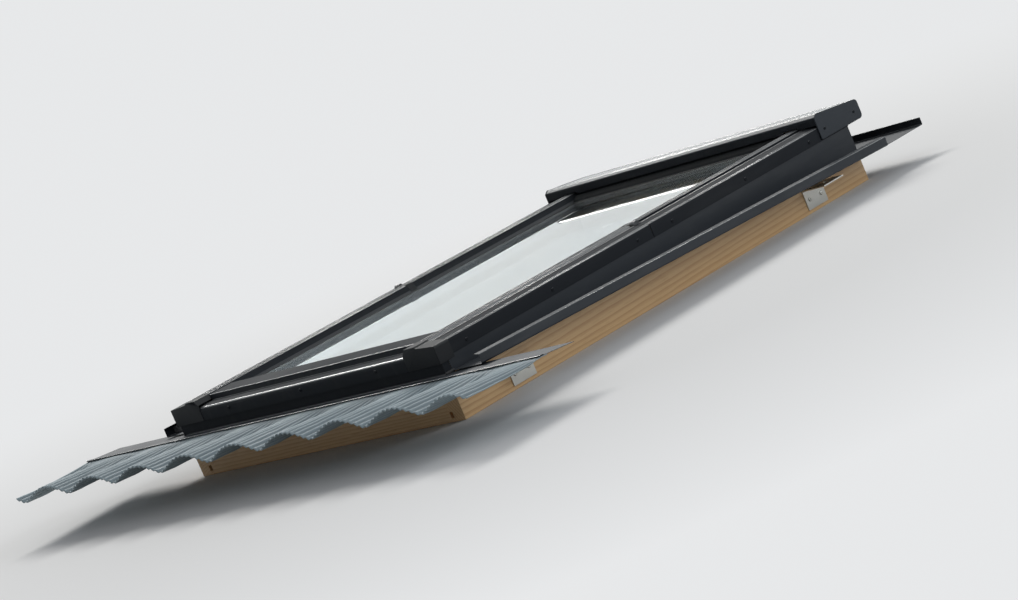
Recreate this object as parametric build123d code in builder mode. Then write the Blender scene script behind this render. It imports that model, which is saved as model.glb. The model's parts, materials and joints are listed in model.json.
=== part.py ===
"""Centre-pivot roof window with its hood and pleated apron, closed, lying in the roof plane.

X runs across the window, Y up the slope and Z out of the roof. The origin is the centre of the
frame on the plane of the roof battens, where the four fixing brackets sit. Millimetres.
"""
import os
from math import atan, cos, pi, radians, sin

from build123d import *

os.makedirs("parts", exist_ok=True)

# Timber frame
frame_width = 780
frame_length = 1180
frame_drop = 45             # depth of the frame below the battens
frame_side_height = 88      # top of the side members above the battens
frame_bottom_fall = 12      # below the side members
frame_top_rise = 8          # above them
frame_side_thick = 35
frame_end_thick = 38
lining_groove_width = 12
lining_groove_depth = 8
lining_groove_drop = 38     # lower edge of the groove below the battens

# Gaps between frame and sash
side_gap = 12
bottom_gap = 11
top_gap = 9
seat = 0.3                  # resting clearance between a piece and what carries it
running_gap = 1.5           # clearance between a moving cover and a fixed one

# Sash timber and glazing; falls and rises count from the top of the frame's side members
stile_width = 43.5
rail_width = 63
sash_underside_fall = 68
rebate_fall = 30
pane_thick = 4
cavity = 16
bed_seal = 2
glass_edge_cover = 24       # how far the timber reaches under the glass
glass_play = 3
block_length = 80
block_inset = 152           # of a block's middle, from the side edge of the glass
lip_seal = 1
spacer_width = 7
spacer_inset = 5

# Folded aluminium covers
sheet = 1.2
thin_sheet = 0.8
cover_overlap = 16          # how far a cover reaches over the edge of the glass
ridge_rise = 14
ridge_slope = 10
strip_inner_rise = 10.6
strip_outer_rise = 7.2
cover_reach = 3.0           # outer face of the side flanges beyond the timber
flange_fall = 20
trim_depth = 19             # of the upper trim's flange, below the ridge
top_cover_rise = 9
top_cover_flange = 11
bottom_front_rise = 4
bottom_back_rise = 2.5
bottom_flange_fall = 26
bottom_reach = 7
rib_width = 4.4             # ribs pressed up along the covers and the hood
rib_height = 0.9
rib_inset = 6.5             # of a rib from the fold beside it
corner_length = 37
corner_wall = 2
corner_proud = 0.8
frame_cover_foot = 44
cover_return = 17           # how far the bottom frame cover turns round the sides
cover_return_thick = 1

# Seals between frame and sash
seal_width = 12
seal_setback = 18           # of the lower seal, from the outer face of the frame
seal_lower_height = 5.5
seal_split = 70             # break in the seals on either side of the pivots
seal_drop = 12              # foot of the upper seal, below the side members
seal_block = 4              # height of the upper seal's solid foot and of its lip

# Hood over the top of the frame
hood_reach_down = 85        # from the outer face of the frame top down to the hood's front
hood_reach_up = 45
support_inset = 140         # of the outer hood supports, from the side of the frame
support_width = 28
hood_crown_rise = 33
hood_back_rise = 20
hood_lip_rise = 11.8
hood_foot_fall = 10
hood_end_wall = 2.5
hood_end_fall = 18

# Pivot hinge
pivot_rise = 12
pivot_pin_radius = 3.5
pivot_play = 0.05
pivot_ear = 6.5
hinge_plate = 5
hinge_half_width = 24
hinge_drop = 64             # from the pivot down to the foot of the sash plate
cover_split = 9             # half of the break in the covers at the pivot
swing_limit = 165           # degrees, sash turned over for cleaning

# Ventilation flap with its control bar, shown pulled open
flap_open = 40              # degrees
flap_side_gap = 26          # from the daylight edge of the stile
flap_reach = 46
flap_thick = 6
flap_axis_inset = 7.5       # of the hinge line, from the outer face of the top rail
flap_axis_fall = 5          # below the sash
knuckle_radius = 4.5
flap_pin_radius = 2
bar_reach = 36
bar_drop = 16
bar_width = 24
bar_thick = 12
bar_side_gap = 18
post_inset = 80
post_width = 14
vent_slot_gap = 68
vent_slot_width = 11
vent_slot_inset = 28
vent_hole_pitch = 46
vent_hole_length = 34
vent_hole_width = 6
filter_inset = 20           # from the underside of the sash
filter_length = 20

# Latch, striker and barrel bolt
lock_half = 30
lock_depth = 18
lock_height = 18
lock_rise = 20              # middle of the lock, above the underside of the sash
latch_half = 8
latch_height = 8
latch_throw = 12
striker_thick = 2.7
barrel_radius = 4
barrel_inset = 51.5         # from the outer face of the top rail
barrel_fall = 8             # below the sash
barrel_travel = 11
bush_radius = 9
barrel_engaged = 4

# Fixing brackets
bracket_hole_out = 40       # from the side of the frame to the batten hole
bracket_inset = 160         # from the end of the frame to the middle of the bracket
bracket_thick = 2.5
bracket_width = 60
bracket_out = 62
bracket_leg = 38
bracket_hole_radius = 3.5
screw_radius = 1.9
pilot_radius = 2.2
screw_head_radius = 4
screw_head_height = 2
screw_length = 24

# Flashing
apron_side_reach = 285      # beyond the side of the frame
apron_root_height = 40.3
apron_slope = 0.09
apron_flat = 34
apron_upstand = 20
skirt_overlap = 14
skirt_reach = 220           # below the bottom of the frame
skirt_thick = 1.2
roll_pitch = 150
roll_phase = 26
roll_depth = 25
roll_depth_root = 8
roll_softness = 0.03        # rounds the valleys between the rolls
pleat_pitch = 12.5
pleat_depth = 2.6
gutter_width = 80
gutter_hook = 20
gutter_low = 41
gutter_high = 10
gutter_top_fall = 8         # below the side members
gutter_start_inset = 15     # from the bottom of the frame
foam_width = 26
foam_height = 20
top_tray_height = 12
top_tray_reach = 115
top_tray_side = 80
top_tray_hook = 14

# Values that follow from the sizes above
half_width = frame_width / 2
half_length = frame_length / 2
frame_bottom_height = frame_side_height - frame_bottom_fall
frame_top_height = frame_side_height + frame_top_rise
sash_underside = frame_side_height - sash_underside_fall
rebate_floor = frame_side_height - rebate_fall
ridge_top = frame_side_height + ridge_rise
strip_inner = frame_side_height + strip_inner_rise
strip_outer = frame_side_height + strip_outer_rise
flange_foot = frame_side_height - flange_fall
top_cover_height = frame_side_height + top_cover_rise
bottom_cover_front = frame_side_height + bottom_front_rise
bottom_cover_back = frame_side_height + bottom_back_rise
bottom_flange_foot = frame_side_height - bottom_flange_fall
seal_low = frame_side_height - seal_drop
hood_crown = frame_side_height + hood_crown_rise
hood_back_height = frame_side_height + hood_back_rise
hood_lip = frame_side_height + hood_lip_rise
hood_foot = frame_side_height - hood_foot_fall
hood_end_foot = frame_side_height - hood_end_fall
pivot_height = frame_side_height + pivot_rise
hinge_foot = pivot_height - hinge_drop
flap_axis_height = sash_underside - flap_axis_fall
lock_centre_height = sash_underside + lock_rise
barrel_height = sash_underside - barrel_fall
gutter_top = frame_side_height - gutter_top_fall
frame_inner_x = half_width - frame_side_thick
frame_inner_y = half_length - frame_end_thick
sash_x = frame_inner_x - side_gap
stile_x = sash_x - sheet - seat
stile_inner_x = stile_x - stile_width
sash_low_y = -(frame_inner_y - bottom_gap)
sash_high_y = frame_inner_y - top_gap
rail_high_y = sash_high_y - sheet - seat
daylight_y = -sash_low_y - rail_width
glass_half_width = stile_inner_x + glass_edge_cover
glass_half_length = daylight_y + glass_edge_cover - 2
rebate_x = glass_half_width + glass_play
rebate_y = glass_half_length + glass_play
inner_pane_z = rebate_floor + bed_seal
outer_pane_z = inner_pane_z + pane_thick + cavity
glass_top = outer_pane_z + pane_thick
lip_height = glass_top + lip_seal + 0.9
lip_x = glass_half_width - cover_overlap
lip_y = glass_half_length - cover_overlap + 4
tongue_top = ridge_top - sheet - seat
flange_x = half_width + cover_reach
front_y = half_length + bottom_reach
groove_low = -lining_groove_drop
hood_front = half_length - hood_reach_down
hood_rear = half_length + hood_reach_up
flap_half_length = stile_inner_x - flap_side_gap
flap_axis_y = rail_high_y - flap_axis_inset
bar_half_length = stile_inner_x - bar_side_gap
vent_slot_half = stile_inner_x - vent_slot_gap
vent_slot_y = rail_high_y - vent_slot_inset
barrel_y = rail_high_y - barrel_inset
bracket_spacing_x = frame_width + 2 * bracket_hole_out
bracket_spacing_y = frame_length - 2 * bracket_inset
apron_half_width = half_width + apron_side_reach
skirt_edge = half_length + skirt_reach
gutter_start = half_length - gutter_start_inset
gutter_end = half_length
top_tray_end = half_length + top_tray_reach
top_tray_half = half_width + top_tray_side


def across_y(y_high):
    """Sketch plane of a section that runs down the slope from y_high."""
    return Plane.XZ.offset(-y_high)


def across_x(x_low):
    """Sketch plane of a section that runs to the right from x_low."""
    return Plane.YZ.offset(x_low)


def folded(points, bends, thickness=sheet):
    """Section of a folded sheet; the wall lies on the left of the path."""
    with BuildSketch() as section:
        with BuildLine():
            FilletPolyline(*points, radius=bends)
            offset(amount=thickness, side=Side.LEFT)
        make_face()
    return section.sketch


def ribbed(section, places):
    """The section of a sheet with low ribs pressed up at the places on its outer face."""
    with BuildSketch() as sheet_and_ribs:
        add(section)
        with Locations(*places):
            Ellipse(rib_width / 2, rib_height)
    return sheet_and_ribs.sketch


def along(start, end, inset):
    """Point of a section's straight run, inset from start towards end."""
    share = inset / abs(end[0] - start[0])
    return tuple(a + (b - a) * share for a, b in zip(start, end))


def mirrored(piece):
    """The left-hand twin of a right-hand piece."""
    with BuildPart() as twin:
        mirror(piece.part, about=Plane.YZ)
    return twin


# Frame timber
with BuildPart() as frame_side_right:
    with BuildSketch(across_y(half_length)):
        with BuildLine():
            Polyline(
                (frame_inner_x, -frame_drop), (half_width, -frame_drop),
                (half_width, frame_side_height), (frame_inner_x, frame_side_height), close=True)
        make_face()
        with Locations((frame_inner_x, groove_low)):
            Rectangle(lining_groove_depth, lining_groove_width,
                      align=(Align.MIN, Align.MIN), mode=Mode.SUBTRACT)
    extrude(amount=frame_length)
    chamfer(frame_side_right.edges().filter_by(Axis.Y).group_by(Axis.Z)[-1], 1.5)
    with BuildSketch(Plane.YZ.offset(half_width)):
        for bracket_y in (-bracket_spacing_y / 2, bracket_spacing_y / 2):
            with Locations((bracket_y, -bracket_leg / 2)):
                with GridLocations(bracket_width - 24, 1, 2, 1):
                    Circle(pilot_radius)
    extrude(amount=-screw_length - 2, mode=Mode.SUBTRACT)
frame_side_left = mirrored(frame_side_right)


def end_member(height):
    """Section of a cross member of the frame, inner face at the origin, going outwards."""
    with BuildSketch() as section:
        with BuildLine():
            Polyline((0, -frame_drop), (frame_end_thick, -frame_drop),
                     (frame_end_thick, height), (0, height), close=True)
        make_face()
        with Locations((0, groove_low)):
            Rectangle(lining_groove_depth, lining_groove_width,
                      align=(Align.MIN, Align.MIN), mode=Mode.SUBTRACT)
    return section.sketch


frame_top_section = end_member(frame_top_height)
frame_bottom_section = mirror(end_member(frame_bottom_height), about=Plane.YZ)
latch_pocket = latch_throw - (frame_inner_y - rail_high_y) + 4

with BuildPart() as frame_top:
    with BuildSketch(across_x(-frame_inner_x)):
        add(frame_top_section.moved(Location((frame_inner_y, 0))))
    extrude(amount=2 * frame_inner_x)
    with BuildSketch(Plane.XZ.offset(-frame_inner_y)):
        with Locations((0, lock_centre_height)):
            Rectangle(2 * latch_half + 3, latch_height + 3)
    extrude(amount=-latch_pocket, mode=Mode.SUBTRACT)

with BuildPart() as frame_bottom:
    with BuildSketch(across_x(-frame_inner_x)):
        add(frame_bottom_section.moved(Location((-frame_inner_y, 0))))
    extrude(amount=2 * frame_inner_x)

# Sash timber
with BuildPart() as sash_stile_right:
    with BuildSketch(across_y(rail_high_y)):
        with BuildLine():
            Polyline(
                (stile_inner_x, sash_underside), (stile_x, sash_underside),
                (stile_x, tongue_top), (rebate_x, tongue_top),
                (rebate_x, rebate_floor), (stile_inner_x, rebate_floor), close=True)
        make_face()
    extrude(amount=rail_high_y - sash_low_y)
    fillet(sash_stile_right.edges().filter_by(Axis.Y).group_by(Axis.Z)[0].sort_by(Axis.X)[0], 6)
    chamfer(sash_stile_right.edges().filter_by(Axis.Y).group_by(Axis.Z)[-1].sort_by(Axis.X)[-1], 2)
sash_stile_left = mirrored(sash_stile_right)


def rail_section(outer_y, tongue):
    """Section of a sash rail, from the daylight edge out to outer_y, with its glass rebate."""
    with BuildSketch() as section:
        with BuildLine():
            Polyline((daylight_y, sash_underside), (outer_y, sash_underside), (outer_y, tongue),
                     (rebate_y, tongue), (rebate_y, rebate_floor), (daylight_y, rebate_floor),
                     close=True)
        make_face()
    return section.sketch


bottom_tongue = bottom_cover_back - sheet - seat
top_tongue = top_cover_height - 1 - sheet - seat
bottom_rail_section = mirror(rail_section(-sash_low_y, bottom_tongue), about=Plane.YZ)
top_rail_section = rail_section(rail_high_y, top_tongue)

with BuildPart() as sash_bottom_rail:
    with BuildSketch(across_x(-stile_inner_x)):
        add(bottom_rail_section)
    extrude(amount=2 * stile_inner_x)
    fillet(sash_bottom_rail.edges().filter_by(Axis.X).group_by(Axis.Z)[0].sort_by(Axis.Y)[-1], 6)

with BuildPart() as sash_top_rail:
    with BuildSketch(across_x(-stile_inner_x)):
        add(top_rail_section)
    extrude(amount=2 * stile_inner_x)
    with BuildSketch(Plane.XY.offset(sash_underside)):
        with Locations((0, vent_slot_y)):
            SlotOverall(2 * vent_slot_half, vent_slot_width)
    extrude(amount=top_tongue, mode=Mode.SUBTRACT)
    with BuildSketch(Plane.XZ.offset(-rail_high_y)):
        with Locations((0, lock_centre_height)):
            Rectangle(2 * (lock_half + seat), lock_height + 2 * seat)
    extrude(amount=lock_depth + seat, mode=Mode.SUBTRACT)


# Insulating glass
def pane(floor_height):
    """One sheet of glass lying on floor_height, its upper edges ground."""
    with BuildPart() as plate:
        with BuildSketch(Plane.XY.offset(floor_height)):
            Rectangle(2 * glass_half_width, 2 * glass_half_length)
        extrude(amount=pane_thick)
        chamfer(plate.faces().sort_by(Axis.Z)[-1].edges(), 0.6)
    return plate


def edge_frame(floor_height, height, outset, width):
    """Frame of even width that runs round the glass; outset moves it in from the glass edge."""
    with BuildPart() as ring:
        with BuildSketch(Plane.XY.offset(floor_height)):
            Rectangle(2 * (glass_half_width - outset), 2 * (glass_half_length - outset))
            Rectangle(2 * (glass_half_width - outset - width),
                      2 * (glass_half_length - outset - width), mode=Mode.SUBTRACT)
        extrude(amount=height)
    return ring


inner_pane = pane(inner_pane_z)
outer_pane = pane(outer_pane_z)
pane_spacer = edge_frame(inner_pane_z + pane_thick, cavity, spacer_inset, spacer_width)
edge_sealant = edge_frame(inner_pane_z + pane_thick, cavity, 0, spacer_inset)
bed_gasket = edge_frame(rebate_floor, bed_seal, 4, 12)
lip_gasket = edge_frame(glass_top, lip_seal, 1, cover_overlap - 6)

with BuildPart() as setting_blocks:
    with BuildSketch(Plane.XY.offset(rebate_floor)):
        with Locations((0, -glass_half_length - glass_play / 2)):
            with GridLocations(2 * (glass_half_width - block_inset), 1, 2, 1):
                Rectangle(block_length, glass_play)
    extrude(amount=bed_seal + 2 * pane_thick + cavity)

# Sash covers: the lower half laps over the frame, the upper half stays inside it
def ridge_lip(proud=0):
    """Inner end of a cover's path: off the ridge and down to the lip on the glass."""
    return [(lip_x + ridge_slope, ridge_top + proud), (lip_x + 3, lip_height + 4 + proud),
            (lip_x, lip_height + proud)]


lower_path = [(flange_x, flange_foot), (flange_x, strip_outer), (sash_x + 2.5, strip_inner),
              (stile_x, ridge_top)] + ridge_lip()
frame_cover_inner = sash_x + 5
strip_ends = (flange_x, strip_outer), (frame_cover_inner, strip_inner)
strip_ribs = [along(*strip_ends, rib_inset), along(*strip_ends[::-1], rib_inset)]
ridge_ribs = [(stile_x - rib_inset, ridge_top), (lip_x + ridge_slope + rib_inset, ridge_top)]
lower_section = ribbed(folded(lower_path, [4, 2, 2, 3, 3]), strip_ribs + ridge_ribs)
upper_section = ribbed(folded([(sash_x, ridge_top - trim_depth), (sash_x, ridge_top)]
                              + ridge_lip(), [2, 3, 3]), ridge_ribs)
corner_y = front_y - corner_length

with BuildPart() as sash_cover_right:
    with BuildSketch(across_y(-cover_split)):
        add(lower_section)
    extrude(amount=corner_y - cover_split)
sash_cover_left = mirrored(sash_cover_right)

with BuildPart() as upper_trim_right:
    with BuildSketch(across_y(sash_high_y)):
        add(upper_section)
    extrude(amount=sash_high_y - cover_split)
upper_trim_left = mirrored(upper_trim_right)

cap_section = folded([(stile_x - 0.2, ridge_top + corner_proud)] + ridge_lip(corner_proud),
                     [3, 3], corner_wall)
with BuildPart() as pivot_cap_right:
    with BuildSketch(across_y(cover_split - seat)):
        add(cap_section)
    extrude(amount=2 * (cover_split - seat))
pivot_cap_left = mirrored(pivot_cap_right)

bottom_path = [(-front_y, bottom_flange_foot), (-front_y, bottom_cover_front),
               (-lip_y - 3, bottom_cover_back), (-lip_y, lip_height)]
bottom_section = ribbed(folded(bottom_path[::-1], [2, 5]),
                        [along(bottom_path[1], bottom_path[2], rib_inset),
                         along(bottom_path[2], bottom_path[1], 3 * rib_inset)])
with BuildPart() as sash_cover_bottom:
    with BuildSketch(across_x(-lip_x)):
        add(bottom_section)
    extrude(amount=2 * lip_x)

vent_hole_count = round(2 * vent_slot_half / vent_hole_pitch)
top_section = folded(
    [(sash_high_y, top_cover_height - top_cover_flange), (sash_high_y, top_cover_height),
     (lip_y + 12, top_cover_height - 1), (lip_y + 3, lip_height + 4), (lip_y, lip_height)],
    [2, 4, 3])
with BuildPart() as sash_cover_top:
    with BuildSketch(across_x(-lip_x)):
        add(top_section)
    extrude(amount=2 * lip_x)
    with BuildSketch(Plane.XY.offset(top_cover_height + 2)):
        with Locations((0, vent_slot_y + 3)):
            with GridLocations(vent_hole_pitch, 1, vent_hole_count, 1):
                SlotOverall(vent_hole_length, vent_hole_width)
    extrude(amount=-8, mode=Mode.SUBTRACT)

corner_path = [(flange_x + corner_proud, bottom_flange_foot),
               (flange_x + corner_proud, strip_outer + corner_proud),
               (sash_x + 2.5, strip_inner + corner_proud), (stile_x, ridge_top + corner_proud),
               (lip_x + ridge_slope, ridge_top + corner_proud),
               (lip_x + 0.6, bottom_cover_front + 0.4)]
corner_section = folded(corner_path, [5, 2, 2, 4], corner_wall)
with BuildPart() as cover_corner_right:
    with BuildSketch(across_y(-corner_y)):
        add(corner_section)
    extrude(amount=corner_length + corner_proud)
    with BuildSketch(across_y(-front_y - corner_proud + corner_wall)):
        with BuildLine():
            FilletPolyline(*corner_path, (lip_x + 0.6, bottom_flange_foot),
                           radius=[5, 2, 2, 4, 1, 1, 1], close=True)
        make_face()
    extrude(amount=corner_wall)
    front_uprights = cover_corner_right.faces().sort_by(Axis.Y)[0].edges().filter_by(Axis.Z)
    fillet(front_uprights.sort_by(Axis.X)[-1], 1.2)
cover_corner_left = mirrored(cover_corner_right)

# Frame covers
frame_path = [(flange_x, flange_foot), (flange_x, strip_outer),
              (frame_cover_inner, strip_inner), (frame_cover_inner, strip_inner - 9)]
frame_section = ribbed(folded(frame_path, [4, 1.5]), strip_ribs)
cover_start = cover_split - running_gap
with BuildPart() as frame_cover_right:
    with BuildSketch(across_y(half_length)):
        add(frame_section)
    extrude(amount=half_length + cover_start)
    with BuildSketch(Plane.XY.offset(frame_top_height + seat)):
        with Locations((frame_cover_inner - 1, frame_inner_y - seat)):
            Rectangle(7, frame_end_thick + 1, align=(Align.MIN, Align.MIN))
    extrude(amount=-20, mode=Mode.SUBTRACT)
    with BuildSketch(Plane.XY.offset(ridge_top)):
        with Locations((frame_cover_inner - 1, 0)):
            Rectangle(11, 2 * (pivot_ear + 1.5), align=(Align.MIN, Align.CENTER))
    extrude(amount=-20, mode=Mode.SUBTRACT)
frame_cover_left = mirrored(frame_cover_right)

front_face_y = half_length + 2.6
with BuildPart() as frame_cover_bottom:
    with BuildSketch(across_x(-half_width - cover_return_thick)):
        add(folded([(-frame_inner_y - 1.5, frame_bottom_height + sheet),
                    (-front_face_y, frame_bottom_height + sheet),
                    (-front_face_y, frame_cover_foot)], [2]))
    extrude(amount=2 * (half_width + cover_return_thick))
    with BuildSketch(Plane.XY.offset(frame_bottom_height - 1)):
        with Locations((0, -half_length)):
            Rectangle(frame_width + 4, frame_end_thick, align=(Align.CENTER, Align.MIN))
            Rectangle(2 * (frame_inner_x - seat), frame_end_thick,
                      align=(Align.CENTER, Align.MIN), mode=Mode.SUBTRACT)
    extrude(amount=5, mode=Mode.SUBTRACT)
    with BuildSketch(Plane.XY.offset(frame_cover_foot)):
        for return_x in (half_width, -half_width - cover_return_thick):
            with Locations((return_x, -front_face_y + sheet / 2)):
                Rectangle(cover_return_thick, cover_return - sheet / 2,
                          align=(Align.MIN, Align.MIN))
    extrude(amount=flange_foot - frame_cover_foot - 1)

# Hood, its moulded ends and supports
hood_path = [(hood_rear, hood_foot), (hood_rear, hood_back_height), (hood_front + 8, hood_crown),
             (hood_front, hood_crown - 6), (hood_front, hood_lip)]
hood_half = flange_x + 1
with BuildPart() as hood:
    with BuildSketch(across_x(-hood_half)):
        add(ribbed(folded(hood_path, [8, 5, 5]),
                   [along(hood_path[1], hood_path[2], 2 * rib_inset),
                    along(hood_path[2], hood_path[1], rib_inset),
                    along(hood_path[2], hood_path[1], 3 * rib_inset)]))
    extrude(amount=2 * hood_half)
    with BuildSketch(Plane.XZ.offset(-hood_front + 5)):
        with Locations((lip_x - 2, hood_lip - 2), (-sash_x - 2, hood_lip - 2)):
            Rectangle(sash_x + 4 - lip_x, ridge_top + 4 - hood_lip, align=(Align.MIN, Align.MIN))
    extrude(amount=-10, mode=Mode.SUBTRACT)

with BuildPart() as hood_end_right:
    with BuildSketch(across_x(hood_half + 0.2)):
        with BuildLine():
            FilletPolyline((hood_rear + 1, hood_end_foot), (hood_rear + 1, hood_back_height + 0.5),
                           (hood_front + 8, hood_crown + 0.8), (hood_front - 1, hood_crown - 6),
                           (hood_front - 1, hood_end_foot), radius=[9, 8, 6, 3, 3], close=True)
        make_face()
    extrude(amount=hood_end_wall)
    fillet(hood_end_right.faces().sort_by(Axis.X)[-1].edges(), 1)
hood_end_left = mirrored(hood_end_right)

hood_fall = (hood_crown - hood_back_height) / (hood_rear - hood_front - 8)
with BuildPart() as hood_supports:
    for support_x in (support_inset - half_width, 0, half_width - support_inset):
        with BuildSketch(across_x(support_x - support_width / 2)):
            with BuildLine():
                low, high = frame_inner_y + 6, half_length - 4
                Polyline(*[(low, frame_top_height), (high, frame_top_height)],
                         *[(y, hood_crown - (y - hood_front - 8) * hood_fall - sheet - 2 * seat)
                           for y in (high, low)], close=True)
            make_face()
        extrude(amount=support_width)

# Seals
with BuildPart() as frame_seal_lower:
    with BuildSketch(Plane.XY.offset(frame_side_height)):
        for seal_x in (half_width - seal_setback, seal_setback - half_width):
            with Locations((seal_x, seal_setback - half_length)):
                Rectangle(seal_width, half_length - seal_setback - seal_split,
                          align=(Align.CENTER, Align.MIN))
    extrude(amount=seal_lower_height)
    with BuildSketch(Plane.XY.offset(frame_bottom_height + sheet)):
        with Locations((0, seal_setback + 3 - half_length)):
            Rectangle(2 * (frame_inner_x - seat), seal_width)
    extrude(amount=bottom_tongue - frame_bottom_height - sheet - 0.5)

with BuildPart() as frame_seal_upper:
    for foot, seal_height, lip_gap in (
            (seal_low, frame_side_height - seal_low, 5.5), (seal_low + seal_block, seal_block, 0.4)):
        with BuildSketch(Plane.XY.offset(foot)):
            with Locations((0, seal_split)):
                Rectangle(2 * frame_inner_x - 0.2, frame_inner_y - seal_split - 0.1,
                          align=(Align.CENTER, Align.MIN))
                Rectangle(2 * (sash_x + lip_gap), sash_high_y + lip_gap - seal_split,
                          align=(Align.CENTER, Align.MIN), mode=Mode.SUBTRACT)
        extrude(amount=seal_height)


# Pivot hinges
def hinge_outline(half, foot, shoulder):
    """Plate with rounded foot and a raised ear about the pivot line."""
    with BuildSketch() as outline:
        with Locations((0, foot)):
            RectangleRounded(2 * half, shoulder - foot, 7, align=(Align.CENTER, Align.MIN))
        with Locations((0, shoulder - 8)):
            Rectangle(2 * pivot_ear, pivot_height - shoulder + 8, align=(Align.CENTER, Align.MIN))
        with Locations((0, pivot_height)):
            Circle(pivot_ear)
    return outline.sketch


sash_hinge_outline = hinge_outline(hinge_half_width, hinge_foot, frame_side_height - 8)
frame_hinge_outline = hinge_outline(hinge_half_width + 2, hinge_foot - 6, frame_side_height - 2)
frame_hinge_x = stile_x + hinge_plate + 0.8
with BuildPart() as sash_hinge_right:
    with BuildSketch(across_x(stile_x)):
        add(sash_hinge_outline)
    extrude(amount=hinge_plate)
    with BuildSketch(across_x(stile_x + hinge_plate)):
        with Locations((0, pivot_height)):
            Circle(pivot_pin_radius)
    extrude(amount=frame_inner_x - stile_x - hinge_plate - 0.5)
sash_hinge_left = mirrored(sash_hinge_right)

with BuildPart() as frame_hinge_right:
    with BuildSketch(across_x(frame_hinge_x)):
        add(frame_hinge_outline)
        with Locations((0, pivot_height)):
            Circle(pivot_pin_radius + pivot_play, mode=Mode.SUBTRACT)
    extrude(amount=frame_inner_x - frame_hinge_x)
frame_hinge_left = mirrored(frame_hinge_right)

# Ventilation flap, turned down about its hinge line by flap_open
flap_turn = radians(flap_open)


def flap_plane(x_low):
    """Plane whose x runs from the flap's hinge line to its free edge and y into the room."""
    return Plane(origin=(x_low, flap_axis_y, flap_axis_height),
                 x_dir=(0, -cos(flap_turn), -sin(flap_turn)), z_dir=(1, 0, 0))


flap_face = sash_underside - flap_axis_height - seat
with BuildPart() as vent_flap:
    with BuildSketch(flap_plane(-flap_half_length)):
        with Locations((0, -flap_face)):
            RectangleRounded(flap_reach, flap_thick, 1.5, align=(Align.MIN, Align.MIN))
        with Locations((0, -flap_face)):
            Rectangle(knuckle_radius * 2, flap_face * 2, align=(Align.CENTER, Align.MIN),
                      mode=Mode.SUBTRACT)
        with BuildLine():
            Polyline((0, 0), (knuckle_radius * 1.2, -flap_face), (knuckle_radius * 2, -flap_face),
                     (knuckle_radius * 2, flap_thick - flap_face), close=True)
        make_face()
        Circle(knuckle_radius)
        Circle(flap_pin_radius + pivot_play, mode=Mode.SUBTRACT)
    extrude(amount=2 * flap_half_length)

with BuildPart() as flap_hinge_right:
    with BuildSketch(across_x(flap_half_length + 0.5)):
        with Locations((flap_axis_y, flap_axis_height)):
            Circle(flap_pin_radius + 3)
            Rectangle(2 * (flap_pin_radius + 3), sash_underside - flap_axis_height,
                      align=(Align.CENTER, Align.MIN))
    extrude(amount=5)
    with BuildSketch(across_x(flap_half_length - 10)):
        with Locations((flap_axis_y, flap_axis_height)):
            Circle(flap_pin_radius)
    extrude(amount=11)
flap_hinge_left = mirrored(flap_hinge_right)

with BuildPart() as control_bar:
    with BuildSketch(flap_plane(-bar_half_length)):
        with Locations((bar_reach, bar_drop)):
            SlotOverall(bar_width, bar_thick)
            SlotOverall(bar_width - 4, bar_thick - 4, mode=Mode.SUBTRACT)
    extrude(amount=2 * bar_half_length)

with BuildPart() as bar_posts:
    for post_x in (post_inset - bar_half_length, 0, bar_half_length - post_inset):
        with BuildSketch(flap_plane(post_x - post_width / 2)):
            with Locations((bar_reach, flap_thick - flap_face)):
                Rectangle(10, bar_drop - bar_thick / 2 - flap_thick + flap_face,
                          align=(Align.CENTER, Align.MIN))
        extrude(amount=post_width)

with BuildPart() as bar_ends:
    for end_x in (-bar_half_length - 5, bar_half_length):
        with BuildSketch(flap_plane(end_x)):
            with Locations((bar_reach, bar_drop)):
                SlotOverall(bar_width, bar_thick)
        extrude(amount=5)

with BuildPart() as vent_filter:
    with BuildSketch(Plane.XY.offset(sash_underside + filter_inset)):
        with Locations((0, vent_slot_y)):
            SlotOverall(2 * (vent_slot_half - seat), vent_slot_width - 2 * seat)
    extrude(amount=filter_length)

# Latch, withdrawn while the bar is pulled, with its case and the striker in the frame
with BuildPart() as lock_case:
    with BuildSketch(Plane.XZ.offset(-rail_high_y)):
        with Locations((0, lock_centre_height)):
            Rectangle(2 * lock_half, lock_height)
            Rectangle(2 * (latch_half + 0.2), latch_height + 0.4, mode=Mode.SUBTRACT)
    extrude(amount=lock_depth)

with BuildPart() as latch:
    with BuildSketch(Plane.XZ.offset(-rail_high_y)):
        with Locations((0, lock_centre_height)):
            Rectangle(2 * latch_half, latch_height)
    extrude(amount=lock_depth - 1)
    chamfer(latch.faces().sort_by(Axis.Y)[-1].edges().sort_by(Axis.Z)[-1], 4)

with BuildPart() as striker_plate:
    with BuildSketch(Plane.XZ.offset(-frame_inner_y)):
        with Locations((0, lock_centre_height)):
            RectangleRounded(70, 28, 4)
            Rectangle(2 * latch_half + 3, latch_height + 3, mode=Mode.SUBTRACT)
            with GridLocations(54, 1, 2, 1):
                Circle(pilot_radius, mode=Mode.SUBTRACT)
    extrude(amount=striker_thick)

# Barrel bolt under the left stile, and the bush that it enters when the sash is turned over
barrel_tip = sash_x - 4.5
with BuildPart() as bolt_guide:
    with BuildSketch(across_x(-stile_x + 7)):
        with Locations((barrel_y, barrel_height)):
            Circle(barrel_radius + 4)
            Rectangle(2 * (barrel_radius + 4), sash_underside - barrel_height,
                      align=(Align.CENTER, Align.MIN))
            Circle(barrel_radius + pivot_play, mode=Mode.SUBTRACT)
    extrude(amount=32)

with BuildPart() as barrel_bolt:
    with BuildSketch(across_x(-barrel_tip)):
        with Locations((barrel_y, barrel_height)):
            Circle(barrel_radius)
    extrude(amount=50)
    with BuildSketch(across_x(50 - barrel_tip)):
        with Locations((barrel_y, barrel_height)):
            Circle(barrel_radius + 2.5)
    extrude(amount=6)
    chamfer(barrel_bolt.faces().sort_by(Axis.X)[0].edges(), 1)

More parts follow.
